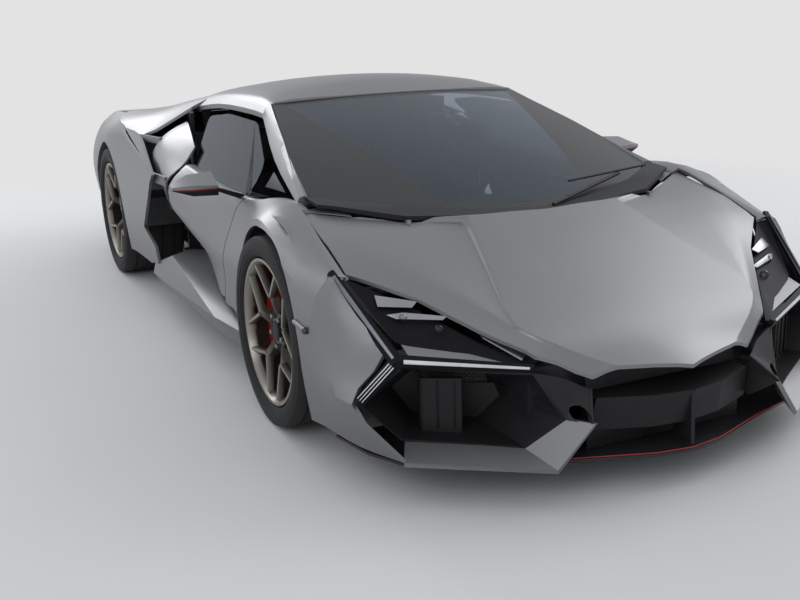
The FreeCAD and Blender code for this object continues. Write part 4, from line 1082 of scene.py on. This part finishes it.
def padded(piece, name):
    for made in pair(piece, name, "seat_leather", crease=padShape["crease"]):
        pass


seatMiddle = seatPlan["middle"]
shellOutline = [(x, seatMiddle, z) for x, z in seatPlan["shell"]]
seatShell = flatPanel(shellOutline, seatPlan["shellWidth"], seatPlan["shellRounding"])
for made in pair(seatShell, "seatShell", "carbon"):
    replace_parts(made, "seats")
for name, (rear, front, half, thick, channels) in seatPlan["pads"].items():
    cushion = pad(rear, front, seatMiddle - half, seatMiddle + half, thick, channels)
    padded(cushion, name)
inner, outer = seatPlan["bolsterReach"]
for name, (rear, front, reach, thick) in seatPlan["bolsters"].items():
    far, near = seatMiddle + reach, seatMiddle - reach
    padded(pad(rear, front, far + inner, far + outer, thick, 1), name + "Outer")
    padded(pad(rear, front, near - outer, near - inner, thick, 1), name + "Inner")
print("seats padded")


# dashboard: two screens, the vents' slats and the keys on the console, which rises forward
dashPlan = {
    "driverScreen": ((1.031, 0.22, 0.622), (1.039, 0.52, 0.688)),
    "consoleScreen": [
        (0.8, -0.085, 0.53), (1.02, -0.085, 0.5605), (1.02, 0.085, 0.5605), (0.8, 0.085, 0.53),
    ],
    "screenThickness": 0.006,
    "screenRounding": 0.002,
    "ventPlaces": (-0.36, -0.2, 0.12),
    "ventHeights": (0.64, 0.65, 0.66),
    "ventDepth": (1.032, 1.039),
    "ventHalf": 0.045,
    "ventThickness": 0.004,
    "ventRounding": 0.001,
    "keyRows": (0.3, 0.35, 0.4, 0.45),
    "keyPlaces": (-0.07, -0.015, 0.04),
    "keySize": 0.03,
    "keyHeights": (0.456, 0.464),
    "keySlope": 0.138,
    "keyRounding": 0.002,
}


def ventSlat(y, z):
    look = dashPlan
    (rear, front), half, thickness = look["ventDepth"], look["ventHalf"], look["ventThickness"]
    return block((rear, y - half, z), (front, y + half, z + thickness), look["ventRounding"])


def consoleKey(x, y):
    look = dashPlan
    rise = (x - look["keyRows"][0]) * look["keySlope"]
    foot, head = (height + rise for height in look["keyHeights"])
    return block((x, y, foot), (x + look["keySize"], y + look["keySize"], head), look["keyRounding"])


rounding, thickness = dashPlan["screenRounding"], dashPlan["screenThickness"]
fitted(block(*dashPlan["driverScreen"], rounding), "driverScreen", "screen")
fitted(flatPanel(dashPlan["consoleScreen"], thickness, rounding), "consoleScreen", "screen")
ventSlats = [ventSlat(y, z) for y in dashPlan["ventPlaces"] for z in dashPlan["ventHeights"]]
fitted(joined(ventSlats), "dashVents", "steel")
keys = [consoleKey(x, y) for x in dashPlan["keyRows"] for y in dashPlan["keyPlaces"]]
fitted(joined(keys), "consoleKeys", "glossBlack")
print("cabin fitted")


# tail: meshes and slats in the grilles, a bare plate mount and the pipes' bright lips
tailLook = {
    "mesh": [(0.296, 0.497), (0.786, 0.466), (0.806, 0.624), (0.296, 0.624)],
    "meshAt": -2.366,
    "meshThickness": 0.003,
    "slatsRear": -2.384,
    "slatSpan": (0.31, 0.77),
    "slatHeights": (0.51, 0.545, 0.58),
    "slatThickness": 0.006,
    "slatRounding": 0.001,
    "plateAt": -2.3825,
    "plateHalf": 0.26,
    "plateHeights": (0.4, 0.51),
    "plateThickness": 0.004,
    "plateRounding": 0.002,
    "pipes": {"Right": -0.11, "Left": 0.11},
    "pipeAt": (-2.4285, 0.63),
    "pipeRadius": 0.071,
    "pipeSides": 6,
    "lipRadius": 0.004,
    "lipSides": 8,
}


def tailSlat(z):
    look = tailLook
    inner, outer = look["slatSpan"]
    low, high = (look["slatsRear"], inner, z), (look["meshAt"], outer, z + look["slatThickness"])
    return block(low, high, look["slatRounding"])


def plateMount():
    look = tailLook
    x, half, (foot, head) = (look[k] for k in ("plateAt", "plateHalf", "plateHeights"))
    corners = [(x, -half, foot), (x, half, foot), (x, half, head), (x, -half, head)]
    return flatPanel(corners, look["plateThickness"], look["plateRounding"])


def pipeLip(y0):
    look = tailLook
    (x, z0), radius, sides = look["pipeAt"], look["pipeRadius"], look["pipeSides"]
    turns = [i * 2 * math.pi / sides for i in range(sides + 1)]
    course = [(x, y0 + radius * math.cos(a), z0 + radius * math.sin(a)) for a in turns]
    return wire(course, look["lipRadius"], look["lipSides"])


tailMesh = [(tailLook["meshAt"], y, z) for y, z in tailLook["mesh"]]
pair(flatPanel(tailMesh, tailLook["meshThickness"]), "tailMesh", "mesh")
pair(joined([tailSlat(z) for z in tailLook["slatHeights"]]), "tailSlats", "black_plastic")
fitted(plateMount(), "barePlateMount", "meshBlack")
for word, y in tailLook["pipes"].items():
    fitted(pipeLip(y), "pipeLip" + word, "chrome")
print("tail fitted")


# engine bay: two plenums with their runners, seen through the cover's slots
enginePlan = {
    "plenum": ((-1.56, 0.06, 0.79), (-0.9, 0.2, 0.835)),
    "plenumRounding": 0.018,
    "plenumSegments": 3,
    "runners": 6,
    "runnerStart": -1.5,
    "runnerPitch": 0.108,
    "runnerCourse": [(0.13, 0.81), (0.21, 0.815), (0.25, 0.79), (0.262, 0.74)],
    "runnerRadius": 0.017,
    "runnerSides": 10,
}


def intakeRunner(i):
    look = enginePlan
    x = look["runnerStart"] + i * look["runnerPitch"]
    return wire([(x, y, z) for y, z in look["runnerCourse"]], look["runnerRadius"], look["runnerSides"])


easing = enginePlan["plenumRounding"], enginePlan["plenumSegments"]
pair(block(*enginePlan["plenum"], *easing), "plenum", "black_plastic")
pair(joined([intakeRunner(i) for i in range(enginePlan["runners"])]), "intakeRunners", "alloy", crease=50)
print("engine dressed")


# camera, at the photograph's viewing angle
cameraLook = {
    "place": (4.7158, -2.0449, 1.4062),
    "yaw": -25.32,
    "down": 15.25,
    "roll": -1.68,
    "lens": 46.08,
    "sensor": 36,
}


def addCamera():
    yaw, down, roll = (math.radians(cameraLook[k]) for k in ("yaw", "down", "roll"))
    ahead = Vector((-math.cos(yaw) * math.cos(down), -math.sin(yaw) * math.cos(down), -math.sin(down)))
    right = ahead.cross(Vector((0, 0, 1))).normalized()
    up = right.cross(ahead)
    tiltedRight = right * math.cos(roll) + up * math.sin(roll)
    tiltedUp = up * math.cos(roll) - right * math.sin(roll)
    data = bpy.data.cameras.new("photoCamera")
    data.sensor_width = cameraLook["sensor"]
    data.lens = cameraLook["lens"]
    camera = bpy.data.objects.new("photoCamera", data)
    bpy.context.scene.collection.objects.link(camera)
    turn = Matrix((tiltedRight, tiltedUp, -ahead)).transposed().to_4x4()
    turn.translation = Vector(cameraLook["place"])
    camera.matrix_world = turn
    bpy.context.scene.camera = camera


addCamera()


# studio: a pale floor that fades into a background of the same colour, a plain world and soft lamps
studioLook = {
    "floorSize": 80,
    "pale": (0.77, 0.77, 0.775),
    "floor": (0.66, 0.66, 0.665),
    "floorDarker": 0.98,
    "floorTone": 4.0,
    "floorRough": 0.9,
    "fadeStart": 3.2,
    "fadeEnd": 6.5,
    "sky": (0.93, 0.96, 1.0),
    "skyLight": 0.68,
    "aim": (0, 0, 0.4),
    "lamps": [  # place, size in metres, watts
        ((1.0, 6.5, 5.0), 5.0, 200),
        ((5.5, -6.0, 4.5), 3.5, 75),
        ((-5.0, -5.0, 4.5), 5.0, 75),
        ((-7.0, -1.6, 4.6), 2.4, 120),
    ],
}


def addFloor():
    deselect()
    bpy.ops.mesh.primitive_plane_add(size=studioLook["floorSize"])
    floor = bpy.context.object
    floor.name = "floor"
    finish = Finish("paleFloor", Roughness=studioLook["floorRough"])
    x, y = finish.along(0), finish.along(1)
    shade, tone = studioLook["floor"], finish.noise(studioLook["floorTone"])
    finish.wear(Base_Color=finish.mix(tone, shaded(shade, studioLook["floorDarker"]), shade))
    fades = studioLook["fadeStart"], studioLook["fadeEnd"]
    fade = finish.span((x * x + y * y).rooted(), *fades, interpolation_type="SMOOTHSTEP")
    rays = ("Is Camera Ray", "Is Glossy Ray", "Is Transmission Ray")
    camera, glossy, through = (finish.node("ShaderNodeLightPath", {}, {}, ray) for ray in rays)
    seen = (camera + glossy + through).atMost(1.0)
    glow = finish.node("ShaderNodeEmission", {}, {"Color": (*studioLook["pale"], 1), "Strength": 1.0})
    finish.blend(fade * seen, glow)
    floor.data.materials.append(finish.material)


def addWorld():
    world = bpy.data.worlds.new("studioWorld")
    world.use_nodes = True
    tree = world.node_tree
    sky = tree.nodes["Background"]
    sky.inputs["Color"].default_value = (*studioLook["sky"], 1)
    sky.inputs["Strength"].default_value = studioLook["skyLight"]
    pale = tree.nodes.new("ShaderNodeBackground")
    pale.inputs["Color"].default_value = (*studioLook["pale"], 1)
    rays = tree.nodes.new("ShaderNodeLightPath")
    either = tree.nodes.new("ShaderNodeMath")
    either.operation = "MAXIMUM"
    tree.links.new(rays.outputs["Is Camera Ray"], either.inputs[0])
    tree.links.new(rays.outputs["Is Transmission Ray"], either.inputs[1])
    blend = tree.nodes.new("ShaderNodeMixShader")
    tree.links.new(either.outputs[0], blend.inputs[0])
    tree.links.new(sky.outputs[0], blend.inputs[1])
    tree.links.new(pale.outputs[0], blend.inputs[2])
    tree.links.new(blend.outputs[0], tree.nodes["World Output"].inputs["Surface"])
    bpy.context.scene.world = world


def addLamps():
    for number, (place, size, watts) in enumerate(studioLook["lamps"]):
        data = bpy.data.lights.new(f"softLamp{number}", "AREA")
        data.size = size
        data.energy = watts
        lamp = bpy.data.objects.new(f"softLamp{number}", data)
        lamp.location = place
        beam = Vector(studioLook["aim"]) - Vector(place)
        lamp.rotation_euler = beam.to_track_quat("-Z", "Y").to_euler()
        bpy.context.scene.collection.objects.link(lamp)


addFloor()
addWorld()
addLamps()
bpy.context.scene.view_settings.view_transform = "Standard"
print("studio ready")
